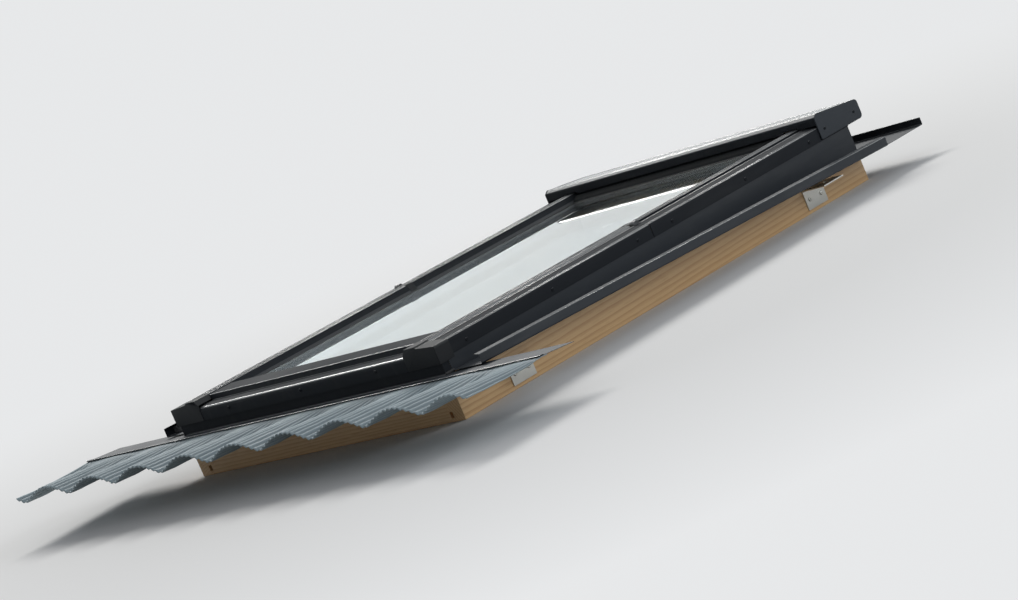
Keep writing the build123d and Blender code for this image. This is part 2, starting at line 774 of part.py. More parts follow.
swing = radians(swing_limit)
barrel_below = barrel_height - pivot_height
bush_y = barrel_y * cos(swing) + barrel_below * sin(swing)
bush_z = pivot_height - barrel_y * sin(swing) + barrel_below * cos(swing)
with BuildPart() as bolt_bush:
    with BuildSketch(across_x(-frame_inner_x)):
        with Locations((bush_y, bush_z)):
            Circle(bush_radius)
            Circle(barrel_radius + 0.15, mode=Mode.SUBTRACT)
    extrude(amount=frame_inner_x - barrel_tip - barrel_travel + barrel_engaged)

# Fixing brackets and their screws
with BuildPart() as fixing_brackets:
    with BuildSketch(across_y(bracket_spacing_y / 2 + bracket_width / 2)):
        add(folded([(half_width + bracket_out, bracket_thick), (half_width, bracket_thick),
                    (half_width, -bracket_leg)], [4], bracket_thick))
    extrude(amount=bracket_width)
    with BuildSketch(Plane.XY.offset(bracket_thick)):
        with Locations((bracket_spacing_x / 2, bracket_spacing_y / 2)):
            Circle(bracket_hole_radius)
    extrude(amount=-bracket_thick, mode=Mode.SUBTRACT)
    with BuildSketch(Plane.YZ.offset(half_width)):
        with Locations((bracket_spacing_y / 2, -bracket_leg / 2)):
            with GridLocations(bracket_width - 24, 1, 2, 1):
                Circle(pilot_radius)
    extrude(amount=bracket_thick, mode=Mode.SUBTRACT)
    mirror(about=Plane.XZ)
    mirror(about=Plane.YZ)

with BuildPart() as bracket_screws:
    for bracket_y in (-bracket_spacing_y / 2, bracket_spacing_y / 2):
        for shank_start, shank_radius, shank_length in (
                (half_width + bracket_thick - screw_length, screw_radius, screw_length),
                (half_width + bracket_thick, screw_head_radius, screw_head_height)):
            with BuildSketch(across_x(shank_start)):
                with Locations((bracket_y, -bracket_leg / 2)):
                    with GridLocations(bracket_width - 24, 1, 2, 1):
                        Circle(shank_radius)
            extrude(amount=shank_length)
    mirror(about=Plane.YZ)

# Apron: folded head and pleated skirt that follows the rolls of the tiles
head_path = [(-half_length - 1.1, apron_root_height + apron_upstand),
             (-half_length - 1.1, apron_root_height),
             (-half_length - 1.1 - apron_flat, apron_root_height + apron_slope * apron_flat)]
wing_back = 45
wing_path = [(-half_length + wing_back, apron_root_height - apron_slope * (wing_back + 1.1)),
             head_path[2]]
with BuildPart() as apron_head:
    with BuildSketch(across_x(-half_width - 1.4)):
        add(folded(head_path, [2], thin_sheet))
    extrude(amount=frame_width + 2.8)
    with BuildSketch(Plane.XY.offset(frame_cover_foot - 1)):
        with Locations((0, -half_length)):
            Rectangle(frame_width + 6, 8)
            Rectangle(frame_width - 2 * seat, 8, mode=Mode.SUBTRACT)
    extrude(amount=apron_upstand, mode=Mode.SUBTRACT)
    for wing_x in (-apron_half_width, half_width + 1.4):
        with BuildSketch(across_x(wing_x)):
            with BuildLine():
                Polyline(*wing_path, *[(y, z - thin_sheet) for y, z in wing_path[::-1]], close=True)
            make_face()
        extrude(amount=apron_half_width - half_width - 1.4)

skirt_start = half_length + 1.1 + apron_flat - skirt_overlap
pleat_count = round(2 * apron_half_width / pleat_pitch)


def skirt_section(distance, depth):
    """Wavy, pleated cross-section of the skirt at a distance down the slope from the centre."""
    crest = apron_root_height + apron_slope * (distance - half_length - 1.1) - thin_sheet - seat
    line = []
    for step in range(2 * pleat_count + 1):
        x = -apron_half_width + step * pleat_pitch / 2
        roll = depth * (1 - (cos(pi * (x - roll_phase) / roll_pitch) ** 2 + roll_softness) ** 0.5)
        line.append((x, crest - roll - (pleat_depth if step % 2 else 0)))
    with BuildSketch(across_y(-distance)) as section:
        with BuildLine():
            Polyline(*line, *[(x, z - skirt_thick) for x, z in line[::-1]], close=True)
        make_face()
    return section.sketch


with BuildPart() as apron_skirt:
    loft([skirt_section(skirt_start, roll_depth_root), skirt_section(skirt_edge, roll_depth)],
         ruled=True)

# Side gutters: a sloping tray with a turned-up hook, and an upstand along the frame
gutter_run = gutter_start + gutter_end
gutter_fall = (gutter_low - gutter_high) / gutter_run
gutter_plane = Plane(origin=(0, gutter_end, gutter_high), x_dir=(1, 0, 0),
                     z_dir=(0, -cos(atan(gutter_fall)), sin(atan(gutter_fall))))
upstand_x = half_width + 0.3
with BuildPart() as side_gutter_right:
    with BuildSketch(gutter_plane):
        add(folded([(upstand_x + gutter_width - 12, gutter_hook),
                    (upstand_x + gutter_width, gutter_hook - 2),
                    (upstand_x + gutter_width, 0), (upstand_x, 0)][::-1], [3, 1.5], thin_sheet))
    extrude(amount=gutter_run / cos(atan(gutter_fall)))
    with BuildSketch(across_x(upstand_x)):
        with BuildLine():
            Polyline((-gutter_start, gutter_low), (gutter_end, gutter_high),
                     (gutter_end, gutter_top), (-gutter_start, gutter_top), close=True)
        make_face()
    extrude(amount=thin_sheet)
side_gutter_left = mirrored(side_gutter_right)

with BuildPart() as gutter_foam_right:
    with BuildSketch(gutter_plane):
        with BuildLine():
            foam_x = upstand_x + gutter_width - thin_sheet - seat
            Polyline((foam_x - 3, thin_sheet + seat), (foam_x, thin_sheet + 3),
                     (foam_x, foam_height - 5),
                     (foam_x - 8, foam_height - 5), (foam_x - foam_width, thin_sheet + seat),
                     close=True)
        make_face()
    extrude(amount=gutter_run - 20)
gutter_foam_left = mirrored(gutter_foam_right)

with BuildPart() as top_flashing:
    with BuildSketch(across_x(-top_tray_half)):
        add(folded([(top_tray_end - 8, top_tray_height + top_tray_hook + 1),
                    (top_tray_end, top_tray_height + top_tray_hook),
                    (top_tray_end, top_tray_height), (half_length + 1.1, top_tray_height),
                    (half_length + 1.1, gutter_top)][::-1], [2, 2, 1.5], thin_sheet))
    extrude(amount=2 * top_tray_half)
    with BuildSketch(Plane.XZ.offset(-half_length)):
        with Locations((0, top_tray_height + 3)):
            Rectangle(2 * top_tray_half, gutter_top, align=(Align.CENTER, Align.MIN))
            Rectangle(frame_width, gutter_top, align=(Align.CENTER, Align.MIN), mode=Mode.SUBTRACT)
    extrude(amount=-5, mode=Mode.SUBTRACT)

pieces = {
    "frame_side_left": frame_side_left, "frame_side_right": frame_side_right,
    "frame_top": frame_top, "frame_bottom": frame_bottom,
    "sash_stile_left": sash_stile_left, "sash_stile_right": sash_stile_right,
    "sash_bottom_rail": sash_bottom_rail, "sash_top_rail": sash_top_rail,
    "inner_pane": inner_pane, "outer_pane": outer_pane, "pane_spacer": pane_spacer,
    "edge_sealant": edge_sealant, "bed_gasket": bed_gasket, "lip_gasket": lip_gasket,
    "setting_blocks": setting_blocks,
    "sash_cover_left": sash_cover_left, "sash_cover_right": sash_cover_right,
    "upper_trim_left": upper_trim_left, "upper_trim_right": upper_trim_right,
    "pivot_cap_left": pivot_cap_left, "pivot_cap_right": pivot_cap_right,
    "sash_cover_bottom": sash_cover_bottom, "sash_cover_top": sash_cover_top,
    "cover_corner_left": cover_corner_left, "cover_corner_right": cover_corner_right,
    "frame_cover_left": frame_cover_left, "frame_cover_right": frame_cover_right,
    "frame_cover_bottom": frame_cover_bottom, "hood": hood,
    "hood_end_left": hood_end_left, "hood_end_right": hood_end_right,
    "hood_supports": hood_supports,
    "frame_seal_lower": frame_seal_lower, "frame_seal_upper": frame_seal_upper,
    "sash_hinge_left": sash_hinge_left, "sash_hinge_right": sash_hinge_right,
    "frame_hinge_left": frame_hinge_left, "frame_hinge_right": frame_hinge_right,
    "vent_flap": vent_flap, "flap_hinge_left": flap_hinge_left,
    "flap_hinge_right": flap_hinge_right, "control_bar": control_bar,
    "bar_posts": bar_posts, "bar_ends": bar_ends, "vent_filter": vent_filter,
    "lock_case": lock_case, "latch": latch, "striker_plate": striker_plate,
    "bolt_guide": bolt_guide, "barrel_bolt": barrel_bolt, "bolt_bush": bolt_bush,
    "fixing_brackets": fixing_brackets, "bracket_screws": bracket_screws,
    "apron_head": apron_head, "apron_skirt": apron_skirt,
    "side_gutter_left": side_gutter_left, "side_gutter_right": side_gutter_right,
    "gutter_foam_left": gutter_foam_left, "gutter_foam_right": gutter_foam_right,
    "top_flashing": top_flashing,
}
for label, piece in pieces.items():
    piece.part.label = label
    export_step(piece.part, f"parts/{label}.step")
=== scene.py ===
"""Looks of a centre-pivot roof window with its hood and pleated apron, seen at the photograph's angle.

Metres. X across the window, Y up the slope, Z out of the roof. The frame's nodes get their finishes
and soft edges, and the scene adds what the solids leave out: the bottom cover's two steps, the
skirt's fine pleats and seam, sealant, screw heads and the rubber bead round the glass.
"""
import json

import bpy
import numpy as np
from mathutils import Matrix, Vector


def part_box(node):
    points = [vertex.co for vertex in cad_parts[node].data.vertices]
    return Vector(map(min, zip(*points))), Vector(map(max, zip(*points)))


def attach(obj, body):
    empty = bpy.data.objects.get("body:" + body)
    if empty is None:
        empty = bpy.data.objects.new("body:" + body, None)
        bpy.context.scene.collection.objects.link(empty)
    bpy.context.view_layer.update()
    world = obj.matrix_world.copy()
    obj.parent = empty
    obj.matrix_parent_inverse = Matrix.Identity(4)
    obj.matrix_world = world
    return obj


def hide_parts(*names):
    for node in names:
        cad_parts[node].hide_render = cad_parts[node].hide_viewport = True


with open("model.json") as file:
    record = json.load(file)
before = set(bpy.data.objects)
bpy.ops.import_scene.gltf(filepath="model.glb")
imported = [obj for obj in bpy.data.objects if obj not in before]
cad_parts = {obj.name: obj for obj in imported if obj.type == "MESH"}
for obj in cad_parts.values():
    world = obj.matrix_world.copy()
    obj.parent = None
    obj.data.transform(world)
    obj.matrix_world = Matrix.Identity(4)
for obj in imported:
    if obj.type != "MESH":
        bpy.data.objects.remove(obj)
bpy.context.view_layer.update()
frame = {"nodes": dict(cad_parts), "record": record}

MM = 0.001
IMAGE_WIDTH = 1018
SIDES = ((1, "right"), (-1, "left"))

# Lowest and highest corners of the nodes that the scene's own pieces are fitted to
SIDE_COVER_LOW, SIDE_COVER_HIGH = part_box("sash_cover_right")
BOTTOM_COVER_LOW, BOTTOM_COVER_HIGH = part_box("sash_cover_bottom")
HOOD_LOW, HOOD_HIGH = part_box("hood")
HOOD_END_LOW, HOOD_END_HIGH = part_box("hood_end_right")
SKIRT_LOW, SKIRT_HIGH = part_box("apron_skirt")
TIMBER_LOW, TIMBER_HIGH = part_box("frame_side_right")
STRIKER_LOW, STRIKER_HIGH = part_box("striker_plate")
BRACKET_SCREWS_LOW, BRACKET_SCREWS_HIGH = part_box("bracket_screws")
FRAME_COVER_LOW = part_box("frame_cover_bottom")[0]

# Single faces of other nodes
PANE_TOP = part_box("outer_pane")[1].z
TRIM_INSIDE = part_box("upper_trim_right")[0].x
TOP_COVER_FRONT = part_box("sash_cover_top")[0].y
UPSTAND_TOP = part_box("apron_head")[1].z
SASH_PIN_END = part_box("sash_hinge_right")[1].x
FRAME_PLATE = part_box("frame_hinge_right")[0].x


# Shader helpers
MIX_FACTOR = 0
COLOUR_PAIR, COLOUR_RESULT = (6, 7), 2      # sockets of a Mix node that blends colours
VECTOR_PAIR, VECTOR_RESULT = (4, 5), 1      # sockets of a Mix node that blends vectors


def link(tree, out, target):
    """Joins one node's output to another node's input."""
    tree.links.new(out, target)


def node(tree, kind, inputs=None, **settings):
    """A shader node with its settings and the plain values of its inputs."""
    made = tree.nodes.new(kind)
    for name, value in settings.items():
        setattr(made, name, value)
    for name, value in (inputs or {}).items():
        made.inputs[name].default_value = value
    return made


def math_node(tree, operation, first, second):
    """One step of arithmetic on two values or sockets."""
    made = node(tree, "ShaderNodeMath", operation=operation)
    for socket, value in zip(made.inputs, (first, second)):
        if isinstance(value, (int, float)):
            socket.default_value = value
        else:
            link(tree, value, socket)
    return made.outputs[0]


def times(tree, first, second):
    """Product of two values or sockets."""
    return math_node(tree, "MULTIPLY", first, second)


def plus(tree, first, second):
    """Sum of two values or sockets."""
    return math_node(tree, "ADD", first, second)


def ramp(tree, value, low, high, to_low=0.0, to_high=1.0):
    """Spreads a value between two limits evenly over another range, clamped."""
    limits = {"From Min": low, "From Max": high, "To Min": to_low, "To Max": to_high}
    made = node(tree, "ShaderNodeMapRange", limits)
    link(tree, value, made.inputs["Value"])
    return made.outputs[0]


def mix_colour(tree, mask, first, second):
    """Blends two colours, plain or from sockets, by a mask."""
    made = node(tree, "ShaderNodeMix", data_type="RGBA")
    link(tree, mask, made.inputs[MIX_FACTOR])
    for number, value in zip(COLOUR_PAIR, (first, second)):
        if isinstance(value, tuple):
            made.inputs[number].default_value = (*value, 1)
        else:
            link(tree, value, made.inputs[number])
    return made.outputs[COLOUR_RESULT]


def shade(colour, share=1.0, paler=0.0):
    """A colour with each part scaled by a share and then raised."""
    return tuple(share * part + paler for part in colour)


def object_place(tree):
    """Object coordinates, on which every pattern lies, so that it moves with the piece."""
    return node(tree, "ShaderNodeTexCoord").outputs["Object"]


NOISE_SPAN = (0.3, 0.7)     # limits between which most values of cloudy noise lie


def noise(tree, place, scale, detail, rough=0.55, stretch=(1, 1, 1)):
    """Cloudy noise, squeezed or stretched along the axes."""
    mapping = node(tree, "ShaderNodeMapping", {"Scale": stretch})
    link(tree, place, mapping.inputs["Vector"])
    made = node(tree, "ShaderNodeTexNoise", {"Scale": scale, "Detail": detail, "Roughness": rough})
    link(tree, mapping.outputs[0], made.inputs["Vector"])
    return made.outputs["Fac"]


# Effects that several materials share
def new_group(name, defaults, results):
    """An empty shader node group of plain values, and its two end nodes."""
    group = bpy.data.node_groups.new(name, "ShaderNodeTree")
    for label, value in defaults.items():
        socket = group.interface.new_socket(label, in_out="INPUT", socket_type="NodeSocketFloat")
        socket.default_value = value
    for label in results:
        group.interface.new_socket(label, in_out="OUTPUT", socket_type="NodeSocketFloat")
    return group, group.nodes.new("NodeGroupInput"), group.nodes.new("NodeGroupOutput")


# How far up a face looks, as the Z part of its normal, where each mask starts and where it is full
DUST_LIES = (0.2, 0.95)
FOLD_LEANS = (0.55, 0.75)
SHEET_LEVEL = (0.95, 0.985)


def weathering_group():
    """Masks for ageing and for the way that a face leans.

    Dust lies in patches on faces that look out of the roof, and streaks run down the slope. Folds
    are the faces that lean between level and upright, on bends and ribs, and Level is the rest of
    what looks out of the roof. Mottle is wide cloudy noise.
    """
    group, given, out = new_group("weathering", {"Dust": 0.5, "Streaks": 0.5},
                                  ("Dust", "Streaks", "Mottle", "Folds", "Level"))
    coordinates = node(group, "ShaderNodeTexCoord")
    place = coordinates.outputs["Object"]
    normal = node(group, "ShaderNodeSeparateXYZ")
    link(group, coordinates.outputs["Normal"], normal.inputs[0])
    upward = normal.outputs["Z"]
    level = ramp(group, upward, *SHEET_LEVEL)
    folds = times(group, ramp(group, upward, *FOLD_LEANS), math_node(group, "SUBTRACT", 1.0, level))
    patches = ramp(group, noise(group, place, scale=7.0, detail=5.0), 0.40, 0.75)
    specks = ramp(group, noise(group, place, scale=420.0, detail=2.0), 0.3, 0.8, 0.75, 1.0)
    dust = times(group, times(group, patches, specks), ramp(group, upward, *DUST_LIES))
    runs = noise(group, place, scale=60.0, detail=3.0, rough=0.6, stretch=(1, 0.06, 0.3))
    streaks = ramp(group, runs, 0.52, 0.74)
    results = {"Dust": times(group, dust, given.outputs["Dust"]),
               "Streaks": times(group, streaks, given.outputs["Streaks"]),
               "Mottle": noise(group, place, scale=3.5, detail=5.0, rough=0.5),
               "Folds": folds, "Level": level}
    for label, value in results.items():
        link(group, value, out.inputs[label])
    return group


def grain_group():
    """Fine even grain over wide shallow waves, as a height in metres."""
    group, given, out = new_group("fine_grain", {"Scale": 900.0, "Grain": 0.02 * MM, "Waves": 0.2 * MM},
                                  ("Height",))
    place = object_place(group)
    cells = node(group, "ShaderNodeTexNoise", {"Detail": 2.0, "Roughness": 0.6})
    link(group, place, cells.inputs["Vector"])
    link(group, given.outputs["Scale"], cells.inputs["Scale"])
    waves = noise(group, place, scale=9.0, detail=1.0, rough=0.4)
    height = plus(group, times(group, cells.outputs["Fac"], given.outputs["Grain"]),
                  times(group, waves, given.outputs["Waves"]))
    link(group, height, out.inputs["Height"])
    return group


WEATHERING = weathering_group()
GRAIN = grain_group()


# Materials
def surface(name, **plain):
    """A material with a Principled shader whose even values are set on its own sockets."""
    made = bpy.data.materials.new(name)
    made.use_nodes = True
    shader = made.node_tree.nodes["Principled BSDF"]
    for label, value in plain.items():
        shader.inputs[label.replace("_", " ")].default_value = value
    return made, made.node_tree, shader


def use_group(tree, group, **values):
    """Places a shared group in a material with its own values, and gives its outputs."""
    made = node(tree, "ShaderNodeGroup", node_tree=group)
    for label, value in values.items():
        made.inputs[label].default_value = value
    return made.outputs


def bump(tree, shader, height, distance=1.0):
    """Feeds a height into the shader's normal; distance is how many metres a height of one means."""
    made = node(tree, "ShaderNodeBump", {"Strength": 1.0, "Distance": distance})
    link(tree, height, made.inputs["Height"])
    link(tree, made.outputs[0], shader.inputs["Normal"])


def grained(tree, shader, scale, grain, waves=0.0):
    """Gives a surface the shared fine grain and waves, in metres of height."""
    bump(tree, shader, use_group(tree, GRAIN, Scale=scale, Grain=grain, Waves=waves)["Height"])


MOTTLED = (0.92, 1.08)          # shares of the lacquer's colour in its darker and paler patches
STREAKED = (0.8, 0.05)          # share of the lacquer's colour kept under streaks, and how much paler
DUSTY = (0.7, 0.09)             # the same under dust
FOLD_HIGHLIGHT = 0.16               # how much paler the lacquer is painted on a fold: a painted highlight
DUST_DULLS, LEVEL_DULLS = 0.35, 0.25        # roughness added under dust and on level faces
VALLEY_SHADE = 0.22                    # share of the lacquer's colour kept in the painted shade between pleats
PLEAT_HOLLOWS = (0.44, 0.53)    # Pointiness at the bottom of a pleat and on its flank


def polish(tree, shader, masks, on_folds, on_level):
    """A clear coat where a sheet is rubbed, with its own weight on folds and on level faces."""
    coat = plus(tree, times(tree, masks["Folds"], on_folds), times(tree, masks["Level"], on_level))
    link(tree, coat, shader.inputs["Coat Weight"])


def with_shaded_valleys(tree, base, colour, depth):
    """A base colour darkened by a depth from 0 to 1 in the hollows between pleats: painted shade."""
    hollow = node(tree, "ShaderNodeNewGeometry").outputs["Pointiness"]
    return mix_colour(tree, ramp(tree, hollow, *PLEAT_HOLLOWS, depth, 0.0), base, shade(colour, VALLEY_SHADE))


def lacquered_sheet(name, colour, rough, dust, streaks=0.35, shine=0.22, metal=0.0, grain=1400.0,
                    fold_gloss_and_highlight=0.9, level_polish=0.0, valley_shade=0.0):
    """Lacquered aluminium sheet: satin, mottled, dusty, streaked, with a clear coat and a painted
    highlight on its folds, and painted shade in its valleys where asked.
    """
    made, tree, shader = surface(name, Specular_IOR_Level=shine, Coat_Roughness=0.22)
    masks = use_group(tree, WEATHERING, Dust=dust, Streaks=streaks)
    mottle = ramp(tree, masks["Mottle"], 0.35, 0.65)
    base = mix_colour(tree, mottle, *(shade(colour, share) for share in MOTTLED))
    base = mix_colour(tree, masks["Streaks"], base, shade(colour, *STREAKED))
    base = mix_colour(tree, masks["Dust"], base, shade(colour, *DUSTY))
    if fold_gloss_and_highlight:
        # painted highlight: the folds' colour made paler, standing for glints on the bends
        base = mix_colour(tree, masks["Folds"], base, shade(colour, paler=FOLD_HIGHLIGHT))
        polish(tree, shader, masks, fold_gloss_and_highlight, level_polish)
    # painted shade darkening the hollows between pleats
    if valley_shade:
        base = with_shaded_valleys(tree, base, colour, valley_shade)
    link(tree, base, shader.inputs["Base Color"])
    dull = plus(tree, times(tree, masks["Dust"], DUST_DULLS), times(tree, masks["Level"], LEVEL_DULLS))
    uneven = ramp(tree, masks["Mottle"], *NOISE_SPAN, rough, rough + 0.08)
    link(tree, plus(tree, dull, uneven), shader.inputs["Roughness"])
    if metal:
        link(tree, ramp(tree, masks["Dust"], 0.0, 1.0, metal, 0.0), shader.inputs["Metallic"])
    grained(tree, shader, grain, 0.01 * MM, waves=0.9 * MM)
    return made


DUST_ON_PLASTIC = (0.12, 0.118, 0.112)
DUST_ON_RUBBER = (0.16, 0.155, 0.15)
DUST_ON_METAL = (0.33, 0.32, 0.30)


def moulded_plastic(name, colour):
    """Fine-grained moulded plastic with a little dust, duller on level faces."""
    made, tree, shader = surface(name, IOR=1.46, Specular_IOR_Level=0.2)
    masks = use_group(tree, WEATHERING, Dust=0.2, Streaks=0.2)
    link(tree, mix_colour(tree, masks["Dust"], colour, DUST_ON_PLASTIC), shader.inputs["Base Color"])
    uneven = ramp(tree, masks["Mottle"], *NOISE_SPAN, 0.44, 0.58)
    link(tree, plus(tree, times(tree, masks["Level"], 0.2), uneven), shader.inputs["Roughness"])
    grained(tree, shader, 2200.0, 0.04 * MM)
    return made


def rubber_seal(name, colour):
    """Matt extruded rubber with dust in patches."""
    made, tree, shader = surface(name, IOR=1.5, Sheen_Weight=0.15)
    masks = use_group(tree, WEATHERING, Dust=0.4, Streaks=0.1)
    link(tree, mix_colour(tree, masks["Dust"], colour, DUST_ON_RUBBER), shader.inputs["Base Color"])
    link(tree, ramp(tree, masks["Mottle"], *NOISE_SPAN, 0.62, 0.78), shader.inputs["Roughness"])
    grained(tree, shader, 1600.0, 0.04 * MM)
    return made


EARLY_WOOD, LATE_WOOD = (0.62, 0.40, 0.19), (0.47, 0.255, 0.10)
PALE_WOOD, FIBRE_WOOD = (0.70, 0.49, 0.27), (0.36, 0.18, 0.07)
ALONG_GRAIN = 0.055             # how much slower the pattern of the wood changes along its grain
PITH = (0.31, 0.17, 0.43)       # shift of the rings' axis away from the middle of the window

# Radians by which the pattern is turned: out of line with the grain along X, about the grain along Y
PATTERN_TURN = {"X": (0.0, 0.0, 0.1), "Y": (0.0, 0.12, 0.0)}


def growth_rings(tree, place, along, stretch):
    """Late wood of the growth rings: saw-toothed rings round an axis along the grain, bent by noise."""
    mapping = node(tree, "ShaderNodeMapping",
                   {"Scale": stretch, "Location": PITH, "Rotation": PATTERN_TURN[along]})
    link(tree, place, mapping.inputs["Vector"])
    warp = node(tree, "ShaderNodeTexNoise", {"Scale": 5.0, "Detail": 2.0})
    link(tree, mapping.outputs[0], warp.inputs["Vector"])
    bent = node(tree, "ShaderNodeMix", {MIX_FACTOR: 0.06}, data_type="VECTOR")
    for number, source in zip(VECTOR_PAIR, (mapping.outputs[0], warp.outputs["Color"])):
        link(tree, source, bent.inputs[number])
    rings = node(tree, "ShaderNodeTexWave",
                 {"Scale": 58.0, "Distortion": 3.0, "Detail": 3.0, "Detail Scale": 1.4},
                 wave_type="RINGS", rings_direction=along, wave_profile="SAW")
    link(tree, bent.outputs[VECTOR_RESULT], rings.inputs["Vector"])
    return ramp(tree, rings.outputs["Fac"], 0.45, 1.0)


def pine(name, along):
    """Clear-lacquered pine: growth rings, wide paler patches along the grain, and dark fibres."""
    made, tree, shader = surface(name, Coat_Weight=0.35, Coat_Roughness=0.18, IOR=1.5)
    place = object_place(tree)
    stretch = tuple(ALONG_GRAIN if axis == along else 1.0 for axis in "XYZ")
    late = growth_rings(tree, place, along, stretch)
    clouds = noise(tree, place, scale=6.0, detail=2.0, rough=0.5, stretch=stretch)
    pale = ramp(tree, clouds, *NOISE_SPAN, 0.0, 0.35)
    fibre = noise(tree, place, scale=520.0, detail=3.0, rough=0.6, stretch=stretch)
    base = mix_colour(tree, late, EARLY_WOOD, LATE_WOOD)
    base = mix_colour(tree, pale, base, PALE_WOOD)
    base = mix_colour(tree, ramp(tree, fibre, 0.54, 0.75, 0.0, 0.42), base, FIBRE_WOOD)
    link(tree, base, shader.inputs["Base Color"])
    link(tree, ramp(tree, fibre, *NOISE_SPAN, 0.34, 0.46), shader.inputs["Roughness"])
    bump(tree, shader, plus(tree, fibre, late), 0.06 * MM)
    return made


def bare_metal(name, colour, rough, brushed=(1, 1, 1)):
    """Bare or plated metal: finely grained, or brushed along an axis, with darker and dusty patches."""
    made, tree, shader = surface(name, Metallic=1.0)
    masks = use_group(tree, WEATHERING, Dust=0.25, Streaks=0.15)
    lines = noise(tree, object_place(tree), scale=700.0, detail=3.0, rough=0.7, stretch=brushed)
    mottle = ramp(tree, masks["Mottle"], *NOISE_SPAN)
    base = mix_colour(tree, mottle, shade(colour, 0.82), colour)
    base = mix_colour(tree, masks["Dust"], base, DUST_ON_METAL)
    link(tree, base, shader.inputs["Base Color"])
    link(tree, ramp(tree, lines, *NOISE_SPAN, rough - 0.07, rough + 0.09), shader.inputs["Roughness"])
    bump(tree, shader, lines, 0.006 * MM)
    return made


def mix_shaders(tree, mask, first, second):
    """Blends two shaders by a mask."""
    made = node(tree, "ShaderNodeMixShader")
    for socket, source in zip(made.inputs, (mask, first, second)):
        link(tree, source, socket)
    return made.outputs[0]


def clear_glass(name, tint):
    """Float glass; light passes straight through for shadows, and thin rain marks dull it."""
    made, tree, shader = surface(name, Transmission_Weight=1.0, IOR=1.52, Metallic=0.0)
    marks = ramp(tree, noise(tree, object_place(tree), scale=11.0, detail=5.0, rough=0.6), 0.45, 0.75)
    link(tree, mix_colour(tree, marks, tint, shade(tint, 0.97)), shader.inputs["Base Color"])
    link(tree, times(tree, marks, 0.05), shader.inputs["Roughness"])
    clear = node(tree, "ShaderNodeBsdfTransparent", {"Color": (*tint, 1)})
    in_shadow = node(tree, "ShaderNodeLightPath").outputs["Is Shadow Ray"]
    link(tree, mix_shaders(tree, in_shadow, shader.outputs[0], clear.outputs[0]),
         tree.nodes["Material Output"].inputs["Surface"])
    return made


def open_foam(name, colour):
    """Open-cell foam: pale walls round small pits, which painted shade makes dark."""
    made, tree, shader = surface(name, IOR=1.4)
    cells = node(tree, "ShaderNodeTexVoronoi", {"Scale": 620.0})
    link(tree, object_place(tree), cells.inputs["Vector"])
    walls = ramp(tree, cells.outputs["Distance"], 0.1, 0.55)
    # painted shade in the pits between the cell walls
    link(tree, mix_colour(tree, walls, shade(colour, 0.35), colour), shader.inputs["Base Color"])
    link(tree, ramp(tree, walls, 0.0, 1.0, 0.95, 0.8), shader.inputs["Roughness"])
    bump(tree, shader, walls, 0.6 * MM)
    return made


# Finishes of this window
ANTHRACITE = (0.0125, 0.0145, 0.018)
CLADDING = lacquered_sheet("anthracite_cladding", ANTHRACITE, 0.52, shine=0.10, dust=0.22, streaks=0.15)
HOOD_SHEET = lacquered_sheet("anthracite_hood", ANTHRACITE, 0.52, shine=0.10, dust=0.15, streaks=0.1,
                             level_polish=1.0)
# painted shade: a darker copy of the cladding's lacquer on the top cover, standing for the hood's shadow
# over it
SHADE_DARK_SHEET = lacquered_sheet("shade_dark_sheet", (0.007, 0.008, 0.009), 0.7, shine=0.08, dust=0.1,
                             streaks=0.1, fold_gloss_and_highlight=0.0)
FLASHING = lacquered_sheet("flashing_sheet", (0.026, 0.030, 0.036), 0.36, dust=0.4)
SKIRT = lacquered_sheet("apron_coating", (0.26, 0.315, 0.34), 0.55, metal=0.1, grain=700.0, dust=0.35,
                        streaks=0.4, fold_gloss_and_highlight=0.0, valley_shade=0.75)
MOULDED = moulded_plastic("black_moulding", (0.014, 0.015, 0.017))
GREY_MOULDED = moulded_plastic("anthracite_moulding", (0.032, 0.037, 0.044))
RUBBER = rubber_seal("black_rubber", (0.010, 0.010, 0.011))
PINE_UP = pine("pine_upright", "Y")
PINE_ACROSS = pine("pine_across", "X")
GLASS = clear_glass("float_glass", (0.88, 0.91, 0.918))
SPACER = bare_metal("spacer_aluminium", (0.60, 0.61, 0.62), 0.35)
ANODISED = bare_metal("satin_anodised", (0.66, 0.67, 0.68), 0.3, brushed=(0.05, 1, 1))
ZINC = bare_metal("zinc_plate", (0.62, 0.61, 0.57), 0.34)
HINGE_STEEL = bare_metal("blackened_steel", (0.10, 0.10, 0.105), 0.42)
FOAM = open_foam("grey_foam", (0.075, 0.075, 0.08))

FINISH_OF_SLOT = {"timber": PINE_UP, "glass": GLASS, "spacer": SPACER, "rubber": RUBBER,
                  "moulded": MOULDED, "foam": FOAM, "skirt": SKIRT, "flashing": FLASHING,
                  "cladding": CLADDING, "bar": ANODISED, "zinc": ZINC}
FINISH_OF_NODE = {"frame_top": PINE_ACROSS, "frame_bottom": PINE_ACROSS,
                  "sash_bottom_rail": PINE_ACROSS, "sash_top_rail": PINE_ACROSS,
                  "sash_hinge_left": HINGE_STEEL, "sash_hinge_right": HINGE_STEEL,
                  "frame_hinge_left": HINGE_STEEL, "frame_hinge_right": HINGE_STEEL,
                  "hood_end_left": GREY_MOULDED, "hood_end_right": GREY_MOULDED,
                  "sash_cover_top": SHADE_DARK_SHEET, "hood": HOOD_SHEET}


# The frame's nodes
EDGE_RADIUS = {"timber": 1.5 * MM, "glass": 0.3 * MM, "cladding": 0.25 * MM, "flashing": 0.2 * MM,
               "moulded": 0.5 * MM, "zinc": 0.3 * MM, "bar": 0.4 * MM, "foam": 1.0 * MM}
JOINED_WITHIN = 0.01 * MM
FLAT_WITHIN = 0.01          # radians between faces, under which they are one flat face
SHARPEST_KEPT = 0.5         # radians between faces, under which an edge is left as it is


